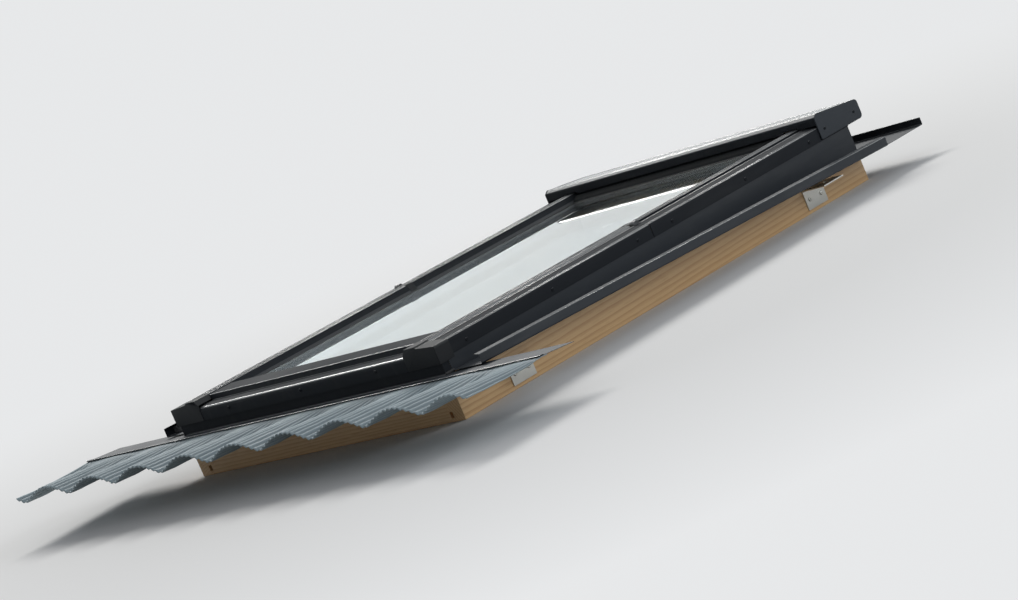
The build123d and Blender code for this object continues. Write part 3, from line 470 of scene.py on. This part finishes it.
def soften_edges(piece, radius):
    """Joins a node's loose triangles and rounds its sharp edges, as a broken or lacquered edge is."""
    weld = piece.modifiers.new("joined", "WELD")
    weld.merge_threshold = JOINED_WITHIN
    flat = piece.modifiers.new("flat_faces", "DECIMATE")
    flat.decimate_type, flat.angle_limit = "DISSOLVE", FLAT_WITHIN
    edge = piece.modifiers.new("rounded_edges", "BEVEL")
    edge.width, edge.segments = radius, 2
    edge.limit_method, edge.angle_limit = "ANGLE", SHARPEST_KEPT
    edge.harden_normals = True


def finish_nodes():
    """Gives every node its own finish or that of its slot in the record, and soft edges."""
    for row in frame["record"]["subparts"]:
        name, slot = row["node"], row["material_slot"]
        piece = frame["nodes"][name]
        piece.data.materials.clear()
        piece.data.materials.append(FINISH_OF_NODE.get(name, FINISH_OF_SLOT[slot]))
        if slot in EDGE_RADIUS:
            soften_edges(piece, EDGE_RADIUS[slot])


# Surfaces worked out on grids
CRISP_ANGLE = 0.7           # radians between faces, over which a folded piece's edge shades sharp


def grid_quads(rows, columns, closed_rows=False, closed_columns=False):
    """Corner numbers of the quads between the points of a grid, row by row."""
    down = np.arange(rows if closed_rows else rows - 1)[:, None]
    along = np.arange(columns if closed_columns else columns - 1)[None, :]
    next_down, next_along = (down + 1) % rows, (along + 1) % columns
    corners = (down * columns + along, down * columns + next_along,
               next_down * columns + next_along, next_down * columns + along)
    return np.stack(corners, -1).reshape(-1, 4)


def add_piece(name, points, faces, finish, body, replaced=(), crisp=False):
    """A mesh from numpy points and faces, with its finish, body and the nodes it stands for."""
    mesh = bpy.data.meshes.new(name)
    mesh.from_pydata(points.reshape(-1, 3), [], faces)
    mesh.materials.append(finish)
    mesh.polygons.foreach_set("use_smooth", np.ones(len(faces), bool))
    mesh.update()
    if crisp:
        mesh.set_sharp_from_angle(angle=CRISP_ANGLE)
    piece = bpy.data.objects.new(name, mesh)
    bpy.context.scene.collection.objects.link(piece)
    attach(piece, body)
    if replaced:
        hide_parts(*replaced)


def rounded_path(points, radii, steps):
    """Points of a folded path, with an arc of its own radius in place of each corner between the ends.

    An arc starts and ends at the radius over the tangent of half the corner's angle from the corner.
    It's drawn as a quadratic curve whose middle control point is the corner itself.
    """
    path = [np.asarray(points[0], float)]
    for before, corner, after, radius in zip(points, points[1:], points[2:], radii):
        before, corner, after = (np.asarray(p, float) for p in (before, corner, after))
        back, ahead = before - corner, after - corner
        back, ahead = back / np.linalg.norm(back), ahead / np.linalg.norm(ahead)
        half = np.arccos(np.clip(back @ ahead, -1, 1)) / 2
        reach = radius / np.tan(half)
        t = np.linspace(0, 1, steps)[:, None]
        path += list((1 - t) ** 2 * (corner + back * reach) + 2 * t * (1 - t) * corner
                     + t ** 2 * (corner + ahead * reach))
    path.append(np.asarray(points[-1], float))
    return np.array(path)


def sheet_outline(path, thickness):
    """Closed outline of a sheet: the outer path, then the same path moved inwards and reversed.

    Each point moves along the mean of the normals of the two runs that meet there.
    """
    run = np.diff(path, axis=0)
    run /= np.linalg.norm(run, axis=1)[:, None]
    normal = np.stack((-run[:, 1], run[:, 0]), -1)
    mean = np.concatenate((normal[:1], normal[:-1] + normal[1:], normal[-1:]))
    mean /= np.linalg.norm(mean, axis=1)[:, None]
    return np.concatenate((path, (path + mean * thickness)[::-1]))


def swept_across(outline, start, end):
    """A closed outline of y, z points carried straight along X, its two ends closed.

    The outline is turned to run clockwise as seen from +X, by the sign of its area, so that the
    faces point outwards.
    """
    y, z = outline.T
    if np.sum(y * np.roll(z, -1) - np.roll(y, -1) * z) > 0:
        outline = outline[::-1]
    rows = len(outline)
    points = np.empty((rows, 2, 3))
    points[..., 0] = (start, end)
    points[..., 1:] = outline[:, None, :]
    rim = 2 * np.arange(rows)
    ends = [rim.tolist(), (rim + 1)[::-1].tolist()]
    return points.reshape(-1, 3), grid_quads(rows, 2, closed_rows=True).tolist() + ends


# Bottom cover in two steps: a ledge over the frame, then a raised ledge beside the glass
BEAD_HEIGHT = 1.9 * MM          # of the rubber bead on the glass, on which the cover's lip ends
COVER_SHEET = 1.2 * MM
LOWER_LEDGE = BOTTOM_COVER_HIGH.z - 4.8 * MM
RAISED_LEDGE = SIDE_COVER_HIGH.z - 2.9 * MM
LEDGE_RISE = 1.0 * MM           # how much higher the lower ledge is at the riser
LEDGE_FALL = 0.4 * MM           # how much lower the raised ledge is at its back edge
LIP_RUN, LIP_RISE = 3.0 * MM, 3.4 * MM      # the steep end of the path, up from the glass
SHOULDER_RUN = 10.0 * MM        # from the glass's edge in sight to the raised ledge
RISER_TOP = SIDE_COVER_LOW.y + 2.0 * MM
RISER_FOOT = SIDE_COVER_LOW.y - 0.5 * MM
BEND_RADII = (2.0 * MM, 3.0 * MM, 2.5 * MM, 2.0 * MM, 9.0 * MM)
BEND_STEPS = 9

# Heights on the side covers' inner faces, and how far these faces stand back from the lip there
LEAN_HEIGHTS = (PANE_TOP + 5.2 * MM, PANE_TOP + 6.0 * MM, SIDE_COVER_HIGH.z)
LEAN_REACH = (0.0, 2.6 * MM, 9.6 * MM)


def bottom_cover_bends():
    """Corners of the cover's path from its lip on the glass over both ledges to the foot in front."""
    lip, back, front = PANE_TOP + BEAD_HEIGHT, BOTTOM_COVER_HIGH.y, BOTTOM_COVER_LOW.y
    return [(back, lip), (back - LIP_RUN, lip + LIP_RISE),
            (back - SHOULDER_RUN, RAISED_LEDGE - LEDGE_FALL), (RISER_TOP, RAISED_LEDGE),
            (RISER_FOOT, LOWER_LEDGE + LEDGE_RISE), (front, LOWER_LEDGE),
            (front, BOTTOM_COVER_LOW.z)]


def add_bottom_cover():
    """Folded sheet carried across between the corners.

    Above the lips of the side covers its ends widen with height, along the slope of those covers.
    """
    path = rounded_path(bottom_cover_bends(), BEND_RADII, BEND_STEPS)
    outline = sheet_outline(path, COVER_SHEET)
    points, faces = swept_across(outline, BOTTOM_COVER_LOW.x, BOTTOM_COVER_HIGH.x)
    points[:, 0] += np.sign(points[:, 0]) * np.interp(points[:, 2], LEAN_HEIGHTS, LEAN_REACH)
    add_piece("sash_cover_bottom_stepped", points, faces, CLADDING, "sash",
              ["sash_cover_bottom"], crisp=True)


# Apron skirt, dressed by hand over the rolls of the tiles
HEAD_FRONT = -TIMBER_LOW.y + 1.1 * MM       # front of the head's upstand, down the slope
HEAD_HEIGHT = UPSTAND_TOP - 20.0 * MM       # height of the head where it leaves the frame
HEAD_REACH = 34.0 * MM      # from the upstand down to where the skirt leaves the head
HEAD_THICK = 0.8 * MM
SKIRT_SLOPE = 0.09          # rise of the head and the skirt's crests, for each metre down the slope
SEAM = HEAD_FRONT + HEAD_REACH
SKIRT_FRONT = -SKIRT_LOW.y
ROLL_PITCH = 0.150
ROLL_CREST = 0.026          # place of one of the crests across the window
ROLL_DEPTH = 0.025
ROLL_SOFTNESS = 0.03        # added under the root, which rounds the valleys between the arches
ROLL_ONSET = 2.2            # power by which the rolls deepen fast below the seam
PLEAT_PITCH = 12.5 * MM
PLEAT_DEPTH = 3.6 * MM
PLEAT_FADE = 22.0 * MM      # way below the seam over which the pleats reach their full depth
PLEATS_AT_SEAM = 0.05       # share of their depth that the pleats keep under the seam
PLEAT_WANDER = 0.12         # pitches by which the pleats wander over the whole skirt
PLEAT_JITTER = 0.05         # pitches by which they wander from roll to roll
PLEAT_UNEVEN = 0.12         # share of their depth by which they vary
DENT_DEPTH = 0.5 * MM
SKIRT_THICK = 1.2 * MM
SKIRT_UNDER_HEAD = HEAD_THICK + 0.3 * MM
ACROSS_PLEAT = 8            # points to a pleat
DOWN_SKIRT = 44             # points from the seam to the front


def roll_depth(x, way):
    """A row of arches: one minus the root of a squared cosine, deepening by a power of the way."""
    arch = np.sqrt(np.cos(np.pi * (x - ROLL_CREST) / ROLL_PITCH) ** 2 + ROLL_SOFTNESS)
    return ROLL_DEPTH * (1 - (1 - way) ** ROLL_ONSET) * (1 - arch)


def pleat_depth(x, distance, way):
    """A raised cosine whose pitch wanders and whose depth varies a little and fades at the seam."""
    wander = PLEAT_WANDER * way * np.sin(5.0 * x + 4.0)
    jitter = PLEAT_JITTER * np.sin(31.0 * x) * np.cos(8.0 * distance)
    uneven = PLEAT_UNEVEN * np.sin(47.0 * x + 3.0 * distance) * np.cos(113.0 * x - 9.0 * distance)
    full = np.clip((distance - SEAM) / PLEAT_FADE, PLEATS_AT_SEAM, 1)
    wave = 0.5 - 0.5 * np.cos(2 * np.pi * (x / PLEAT_PITCH + wander + jitter))
    return PLEAT_DEPTH * full * (1 - PLEAT_UNEVEN + uneven) * wave


def dent_depth(x, distance, way):
    """Small dents of the dressing tool: the product of two slanting waves, deeper to the front."""
    waves = np.sin(41.0 * x + 33.0 * distance) * np.sin(90.0 * distance - 17.0 * x)
    return DENT_DEPTH * way * (1 + waves)


def skirt_height(x, distance):
    """The head's rising line less the roll, the pleat and the dents, by x and the way down the slope."""
    way = np.clip((distance - SEAM) / (SKIRT_FRONT - SEAM), 0, 1)
    crest = HEAD_HEIGHT + SKIRT_SLOPE * (distance - HEAD_FRONT) - SKIRT_UNDER_HEAD
    return crest - roll_depth(x, way) - pleat_depth(x, distance, way) - dent_depth(x, distance, way)


def add_skirt():
    """Pleated, rolled sheet with an upper and a lower face, joined round its rim."""
    columns = round((SKIRT_HIGH.x - SKIRT_LOW.x) / PLEAT_PITCH) * ACROSS_PLEAT + 1
    x, distance = np.meshgrid(np.linspace(SKIRT_LOW.x, SKIRT_HIGH.x, columns),
                              np.linspace(-SKIRT_HIGH.y, SKIRT_FRONT, DOWN_SKIRT))
    top = skirt_height(x, distance)
    sheets = [np.stack((x, -distance, z), -1) for z in (top, top - SKIRT_THICK)]
    count = top.size
    upper = grid_quads(DOWN_SKIRT, columns)[:, ::-1]
    lower = grid_quads(DOWN_SKIRT, columns) + count
    numbers = np.arange(count).reshape(top.shape)
    rim = np.concatenate((numbers[0, :], numbers[1:, -1], numbers[-1, -2::-1], numbers[-2:0:-1, 0]))
    following = np.roll(rim, -1)
    edge = np.stack((rim, following, following + count, rim + count), -1)
    add_piece("apron_skirt_dressed", np.concatenate([s.reshape(-1, 3) for s in sheets]),
              np.concatenate((upper, lower, edge)), SKIRT, "frame", ["apron_skirt"])


# Fold that locks the skirt to the head
FOLD_HALF_WIDTH = 5.0 * MM
FOLD_HALF_HEIGHT = 1.3 * MM
FOLD_BEHIND_SEAM = 1.5 * MM
FOLD_OVER_HEAD = 0.2 * MM
FOLD_STEPS = 20
FOLD_POWERS = (0.6, 0.8)        # along the slope and upwards; one would give a plain ellipse


def flattened(wave, power):
    """A sine or cosine whose size is raised to a power and whose sign is kept."""
    return np.sign(wave) * np.abs(wave) ** power


def add_seam():
    """Flattened round fold across the apron, leaning with it: an ellipse with powers under one."""
    turn = np.linspace(0, 2 * np.pi, FOLD_STEPS, endpoint=False)
    along = FOLD_HALF_WIDTH * flattened(np.cos(turn), FOLD_POWERS[0])
    rise = FOLD_HALF_HEIGHT * flattened(np.sin(turn), FOLD_POWERS[1])
    middle = HEAD_HEIGHT + SKIRT_SLOPE * HEAD_REACH + FOLD_OVER_HEAD
    outline = np.stack((-SEAM + FOLD_BEHIND_SEAM + along, middle + rise - SKIRT_SLOPE * along), -1)
    points, faces = swept_across(outline, SKIRT_LOW.x, SKIRT_HIGH.x)
    add_piece("apron_seam", points, faces, FLASHING, "frame", crisp=True)


# Sealant at the two bottom corners, where the cover's return stops short of the apron head
SEALANT_RADIUS = 3.5 * MM
SEALANT_RIPPLE = 0.25 * MM
SEALANT_WAVES = 900.0           # radians to a metre
SEALANT_LENGTH = 21.0 * MM
SEALANT_SUNK = 0.6 * MM         # how far its flat back lies in the timber
SEALANT_RINGS, SEALANT_STEPS = 16, 9
SEALANT_HEIGHT = FRAME_COVER_LOW.z - 2.3 * MM
SEALANT_START = FRAME_COVER_LOW.y + 0.1 * MM


def add_corner_sealant(side, word):
    """Short bead along Y: a half circle, whose radius ripples as a sine, on the frame's side."""
    turn = np.linspace(-np.pi / 2, np.pi / 2, SEALANT_STEPS)
    y = np.linspace(SEALANT_START, SEALANT_START + SEALANT_LENGTH, SEALANT_RINGS)
    swell = SEALANT_RADIUS + SEALANT_RIPPLE * np.sin(SEALANT_WAVES * y)
    x = side * (TIMBER_HIGH.x - SEALANT_SUNK + np.outer(swell, np.cos(turn)))
    z = SEALANT_HEIGHT + np.outer(swell, np.sin(turn))
    points = np.stack((x, np.broadcast_to(y[:, None], x.shape), z), -1)
    quads = grid_quads(SEALANT_RINGS, SEALANT_STEPS, closed_columns=True)[:, ::-side]
    ring = np.arange(SEALANT_STEPS)
    ends = [ring[::side].tolist(), (ring + (SEALANT_RINGS - 1) * SEALANT_STEPS)[::-side].tolist()]
    add_piece(f"corner_sealant_{word}", points, quads.tolist() + ends, RUBBER, "frame")


# Screw heads with a hexagon socket
SCREW_STEPS = 24                # points round a head
DOME_STEPS = 6
DOME_FOOT = 0.55                # share of the head's height where its upright rim ends
SOCKET_SHARE = 0.42             # of the head's radius
BRIM_SHARE = 1.25               # of the socket's radius, where the dome ends
SOCKET_REACH = np.array((1.0, 0.96, 0.1))
SOCKET_RISE = (0.97, 0.35, 0.28)


def screw_head(radius, height):
    """A domed head about Z: rings of a profile that goes up the rim, over the dome and into the socket.

    The dome is a quarter ellipse. The socket's rings are stretched to a hexagon, by the cosine of 30
    degrees over the cosine of the angle from the middle of a side.
    """
    turn = np.linspace(0, 2 * np.pi, SCREW_STEPS, endpoint=False)
    hexagon = np.cos(np.pi / 6) / np.cos(turn % (np.pi / 3) - np.pi / 6)
    socket = SOCKET_SHARE * radius
    brim = BRIM_SHARE * socket
    bow = np.linspace(0, np.pi / 2, DOME_STEPS)
    reach = np.concatenate(([radius], brim + (radius - brim) * np.cos(bow), socket * SOCKET_REACH))
    rise = height * np.concatenate(([0.0], DOME_FOOT + (1 - DOME_FOOT) * np.sin(bow), SOCKET_RISE))
    in_socket = np.arange(len(reach)) > DOME_STEPS
    ring = reach[:, None] * np.where(in_socket[:, None], hexagon, 1.0)
    z = np.broadcast_to(rise[:, None], ring.shape)
    return np.stack((ring * np.cos(turn), ring * np.sin(turn), z), -1)


def axes_towards(facing):
    """Three axes at right angles, the last of them the direction that a head faces."""
    out = np.array(facing, float)
    side = np.cross(out, (0.0, 0.0, 1.0))
    return np.array((side, np.cross(out, side), out))


def add_screws(name, placed, radius, height, body, slot="zinc", finish=ZINC, replaced=()):
    """Screw heads in one piece, each at its place and turned to the level way that it faces."""
    head = screw_head(radius, height)
    rows, columns = head.shape[:2]
    ring = np.arange(columns)
    quads = grid_quads(rows, columns, closed_columns=True)
    ends = np.array((ring[::-1], ring + (rows - 1) * columns))
    points, faces = [], []
    for number, (place, facing) in enumerate(placed):
        first = number * rows * columns
        points.append(head.reshape(-1, 3) @ axes_towards(facing) + np.array(place))
        faces += (quads + first).tolist() + (ends + first).tolist()
    add_piece(name, np.concatenate(points), faces, finish, body, replaced, crisp=True)


# Radius and height of each kind of head
COVER_SCREW = (3.4 * MM, 1.6 * MM)
HOOD_SCREW = (3.0 * MM, 1.4 * MM)
BRACKET_SCREW = (4.0 * MM, 2.0 * MM)
SASH_PLATE_SCREW = (3.6 * MM, 0.4 * MM)
FRAME_PLATE_SCREW = (3.6 * MM, 0.25 * MM)
STRIKER_SCREW = (3.2 * MM, 1.0 * MM)

# Places of the screws: along Y in the sides, along X in front
SASH_COVER_SCREWS = (-0.52, -0.29, -0.05)
FRAME_COVER_SCREWS = (0.05, 0.27, 0.47)
COVER_SCREW_HEIGHT = SIDE_COVER_LOW.z + 10.0 * MM
HOOD_END_SCREWS = (HOOD_HIGH.y - 20.0 * MM, HOOD_LOW.y + 16.0 * MM)
HOOD_SCREW_HEIGHT = HOOD_END_LOW.z + 18.0 * MM
BOTTOM_SCREWS = (-0.22, 0.0, 0.22)
BOTTOM_SCREW_HEIGHT = BOTTOM_COVER_LOW.z + 14.0 * MM
BRACKET_FACE = BRACKET_SCREWS_HIGH.x - BRACKET_SCREW[1]
BRACKET_HOLE = 18.0 * MM                # from a bracket's middle to each of its holes
BRACKET_MIDDLE = BRACKET_SCREWS_HIGH.y - BRACKET_SCREW[0] - BRACKET_HOLE
BRACKET_HOLE_HEIGHT = (BRACKET_SCREWS_LOW.z + BRACKET_SCREWS_HIGH.z) / 2
SASH_PLATE = SASH_PIN_END - 8.0 * MM    # outer face of the plate that carries the pin
PLATE_SCREWS = ((-14.0 * MM, 0.050), (14.0 * MM, 0.050), (0.0, 0.074))      # Y and Z in a hinge plate
STRIKER_SCREW_REACH = STRIKER_HIGH.x - 8.0 * MM
STRIKER_SCREW_HEIGHT = (STRIKER_LOW.z + STRIKER_HIGH.z) / 2


def add_cover_screws(side, word):
    """Lacquered screws in the outer faces of the covers and of the hood's end, on one side."""
    outward, face = (side, 0, 0), side * SIDE_COVER_HIGH.x
    add_screws(f"sash_cover_screws_{word}",
               [((face, y, COVER_SCREW_HEIGHT), outward) for y in SASH_COVER_SCREWS],
               *COVER_SCREW, "sash", "cladding", CLADDING)
    add_screws(f"frame_cover_screws_{word}",
               [((face, y, COVER_SCREW_HEIGHT), outward) for y in FRAME_COVER_SCREWS],
               *COVER_SCREW, "frame", "cladding", CLADDING)
    add_screws(f"hood_end_screws_{word}",
               [((side * HOOD_END_HIGH.x, y, HOOD_SCREW_HEIGHT), outward) for y in HOOD_END_SCREWS],
               *HOOD_SCREW, "frame", "cladding", CLADDING)


def add_bottom_cover_screws():
    """Lacquered screws in the front face of the bottom cover."""
    add_screws("bottom_cover_screws",
               [((x, BOTTOM_COVER_LOW.y, BOTTOM_SCREW_HEIGHT), (0, -1, 0)) for x in BOTTOM_SCREWS],
               *COVER_SCREW, "sash", "cladding", CLADDING)


def add_bracket_screws():
    """Two zinc-plated screws in each of the four fixing brackets."""
    holes = [(side, end * BRACKET_MIDDLE + hole)
             for side in (-1, 1) for end in (-1, 1) for hole in (-BRACKET_HOLE, BRACKET_HOLE)]
    add_screws("bracket_screw_heads",
               [((side * BRACKET_FACE, y, BRACKET_HOLE_HEIGHT), (side, 0, 0)) for side, y in holes],
               *BRACKET_SCREW, "frame", replaced=["bracket_screws"])


def add_hinge_screws(side, word):
    """Flat heads on the facing sides of two hinge plates, which turn 0.8 mm apart."""
    add_screws(f"sash_hinge_screws_{word}",
               [((side * SASH_PLATE, y, z), (side, 0, 0)) for y, z in PLATE_SCREWS],
               *SASH_PLATE_SCREW, "sash")
    add_screws(f"frame_hinge_screws_{word}",
               [((side * FRAME_PLATE, y, z), (-side, 0, 0)) for y, z in PLATE_SCREWS],
               *FRAME_PLATE_SCREW, "frame")


def add_striker_screws():
    """Zinc-plated screws near the two ends of the striker plate."""
    ends = (-STRIKER_SCREW_REACH, STRIKER_SCREW_REACH)
    add_screws("striker_screws",
               [((x, STRIKER_LOW.y, STRIKER_SCREW_HEIGHT), (0, -1, 0)) for x in ends],
               *STRIKER_SCREW, "frame")


# Rubber bead where the covers meet the glass
BEAD_WIDTH = 3.4 * MM
BEAD_STEPS = 8
BEAD_CORNER = 4.0 * MM
BEAD_CORNER_STEPS = 7
BEAD_UNDER_COVER = 0.2 * MM     # how far its middle lies outside the edge of the glass in sight


def glass_edge():
    """Points anticlockwise round the glass in sight, with round corners, and the way outwards at each."""
    x = TRIM_INSIDE - BEAD_CORNER
    low, high = BOTTOM_COVER_HIGH.y + BEAD_CORNER, TOP_COVER_FRONT - BEAD_CORNER
    centres = np.array(((x, high), (-x, high), (-x, low), (x, low)))
    angle = np.linspace(0, np.pi / 2, BEAD_CORNER_STEPS) + np.pi / 2 * np.arange(4)[:, None]
    outward = np.stack((np.cos(angle), np.sin(angle)), -1)
    path = centres[:, None, :] + BEAD_CORNER * outward
    return path.reshape(-1, 2), outward.reshape(-1, 2)


def add_glass_bead():
    """Half of an ellipse carried round the edge of the glass in sight."""
    path, outward = glass_edge()
    bow = np.linspace(0, np.pi, BEAD_STEPS)
    reach = BEAD_WIDTH / 2 * np.cos(bow) + BEAD_UNDER_COVER
    flat = path[:, None, :] + outward[:, None, :] * reach[None, :, None]
    z = np.broadcast_to(PANE_TOP + BEAD_HEIGHT * np.sin(bow), flat.shape[:2])
    points = np.concatenate((flat, z[..., None]), -1)
    quads = grid_quads(len(path), BEAD_STEPS, closed_rows=True, closed_columns=True)[:, ::-1]
    add_piece("glass_bead", points, quads, RUBBER, "sash")


# Camera at the photograph's place, turned to the window, with a longer lens
PHOTO_EYE = Vector((4.9094, -4.3583, 0.9136))
PHOTO_RIGHT = Vector((0.67537505, 0.63068737, -0.38223289))
PHOTO_DOWN = Vector((-0.21898376, -0.32341781, -0.92056886))
PHOTO_FOCAL = 862.0         # pixels at the photograph's width
ENLARGEMENT = 4.0
AIM = Vector((0.0, -0.05, 0.03))


def add_camera():
    """The photograph's camera, turned to the window by the smallest turn, without changing its roll."""
    right, up = PHOTO_RIGHT.normalized(), -PHOTO_DOWN.normalized()
    ahead = up.cross(right)
    upright = Matrix((right, up, -ahead)).transposed()
    swing = ahead.rotation_difference((AIM - PHOTO_EYE).normalized()).to_matrix()
    data = bpy.data.cameras.new("camera")
    data.sensor_width = 36.0
    data.lens = PHOTO_FOCAL * ENLARGEMENT / IMAGE_WIDTH * data.sensor_width
    camera = bpy.data.objects.new("camera", data)
    camera.matrix_world = Matrix.Translation(PHOTO_EYE) @ (swing @ upright).to_4x4()
    bpy.context.scene.collection.objects.link(camera)
    bpy.context.scene.camera = camera


# Floor, sky and lamps
FLOOR_HEIGHT = TIMBER_LOW.z - 0.5 * MM
FLOOR_REACH = 30.0
FLOOR_FADES = (0.95, 2.2)   # distances over which the lit floor turns into the even background
BACKGROUND = (0.80, 0.81, 0.82, 1)
SKY_LIGHT = (0.93, 0.96, 1.0, 1)
SKY_STRENGTH = 0.30
CLOUD_TONES = ((0.90, 0.98, 1.0), (0.98, 1.0, 1.0))


def seen_directly(tree):
    """One for rays from the camera, a mirror image or a view through glass."""
    ray = node(tree, "ShaderNodeLightPath").outputs
    through = math_node(tree, "MAXIMUM", ray["Is Glossy Ray"], ray["Is Transmission Ray"])
    return math_node(tree, "MAXIMUM", ray["Is Camera Ray"], through)


def floor_finish():
    """Matt pale floor that keeps the shadow and turns into the even background far out."""
    made, tree, shader = surface("pale_floor", Base_Color=(0.82, 0.82, 0.815, 1), Roughness=0.95,
                                 Specular_IOR_Level=0.0)
    distance = node(tree, "ShaderNodeVectorMath", operation="LENGTH")
    link(tree, object_place(tree), distance.inputs[0])
    far = ramp(tree, distance.outputs["Value"], *FLOOR_FADES)
    plain = node(tree, "ShaderNodeEmission", {"Color": BACKGROUND, "Strength": 1.0})
    mask = times(tree, far, seen_directly(tree))
    link(tree, mix_shaders(tree, mask, shader.outputs[0], plain.outputs[0]),
         tree.nodes["Material Output"].inputs["Surface"])
    return made


def add_floor():
    """A wide square under the frame."""
    mesh = bpy.data.meshes.new("floor")
    corners = [(x * FLOOR_REACH, y * FLOOR_REACH, FLOOR_HEIGHT)
               for x, y in ((-1, -1), (1, -1), (1, 1), (-1, 1))]
    mesh.from_pydata(corners, [], [(0, 1, 2, 3)])
    mesh.materials.append(floor_finish())
    floor = bpy.data.objects.new("floor", mesh)
    bpy.context.scene.collection.objects.link(floor)


def add_sky():
    """Soft light from all round; the camera sees the background, and mirrors see thin cloud."""
    world = bpy.data.worlds.new("sky")
    bpy.context.scene.world = world
    world.use_nodes = True
    tree = world.node_tree
    tree.nodes.clear()
    light = node(tree, "ShaderNodeBackground", {"Color": SKY_LIGHT, "Strength": SKY_STRENGTH})
    direction = node(tree, "ShaderNodeTexCoord").outputs["Generated"]
    layers = noise(tree, direction, scale=3.2, detail=4.0, rough=0.5, stretch=(1, 1, 4))
    cloud = ramp(tree, layers, 0.35, 0.62)
    mirrored = node(tree, "ShaderNodeBackground", {"Strength": 1.0})
    link(tree, mix_colour(tree, cloud, *CLOUD_TONES), mirrored.inputs["Color"])
    seen = node(tree, "ShaderNodeBackground", {"Color": BACKGROUND, "Strength": 1.0})
    to_camera = node(tree, "ShaderNodeLightPath").outputs["Is Camera Ray"]
    shown = mix_shaders(tree, to_camera, mirrored.outputs[0], seen.outputs[0])
    out = node(tree, "ShaderNodeOutputWorld")
    link(tree, mix_shaders(tree, seen_directly(tree), light.outputs[0], shown), out.inputs["Surface"])


def add_lamp(name, place, size, power, colour):
    """A soft rectangular lamp that points at the middle of the window."""
    data = bpy.data.lights.new(name, "AREA")
    data.shape = "RECTANGLE"
    data.size, data.size_y = size
    data.energy, data.color = power, colour
    lamp = bpy.data.objects.new(name, data)
    turned = (-Vector(place)).to_track_quat("-Z", "Y").to_matrix().to_4x4()
    lamp.matrix_world = Matrix.Translation(Vector(place)) @ turned
    bpy.context.scene.collection.objects.link(lamp)


# Everything put together
finish_nodes()
add_bottom_cover()
add_skirt()
add_seam()
for side, word in SIDES:
    add_corner_sealant(side, word)
for side, word in SIDES:
    add_cover_screws(side, word)
add_bottom_cover_screws()
add_bracket_screws()
for side, word in SIDES:
    add_hinge_screws(side, word)
add_striker_screws()
add_glass_bead()

add_camera()
bpy.context.scene.view_settings.view_transform = "Standard"
add_floor()
add_sky()
add_lamp("key_lamp", (-9.2, 7.4, 8.9), size=(9.5, 3.0), power=1780.0, colour=(1.0, 0.985, 0.96))
add_lamp("fill_lamp", (6.9, 2.7, 2.7), size=(3.6, 3.6), power=190.0, colour=(0.90, 0.95, 1.0))
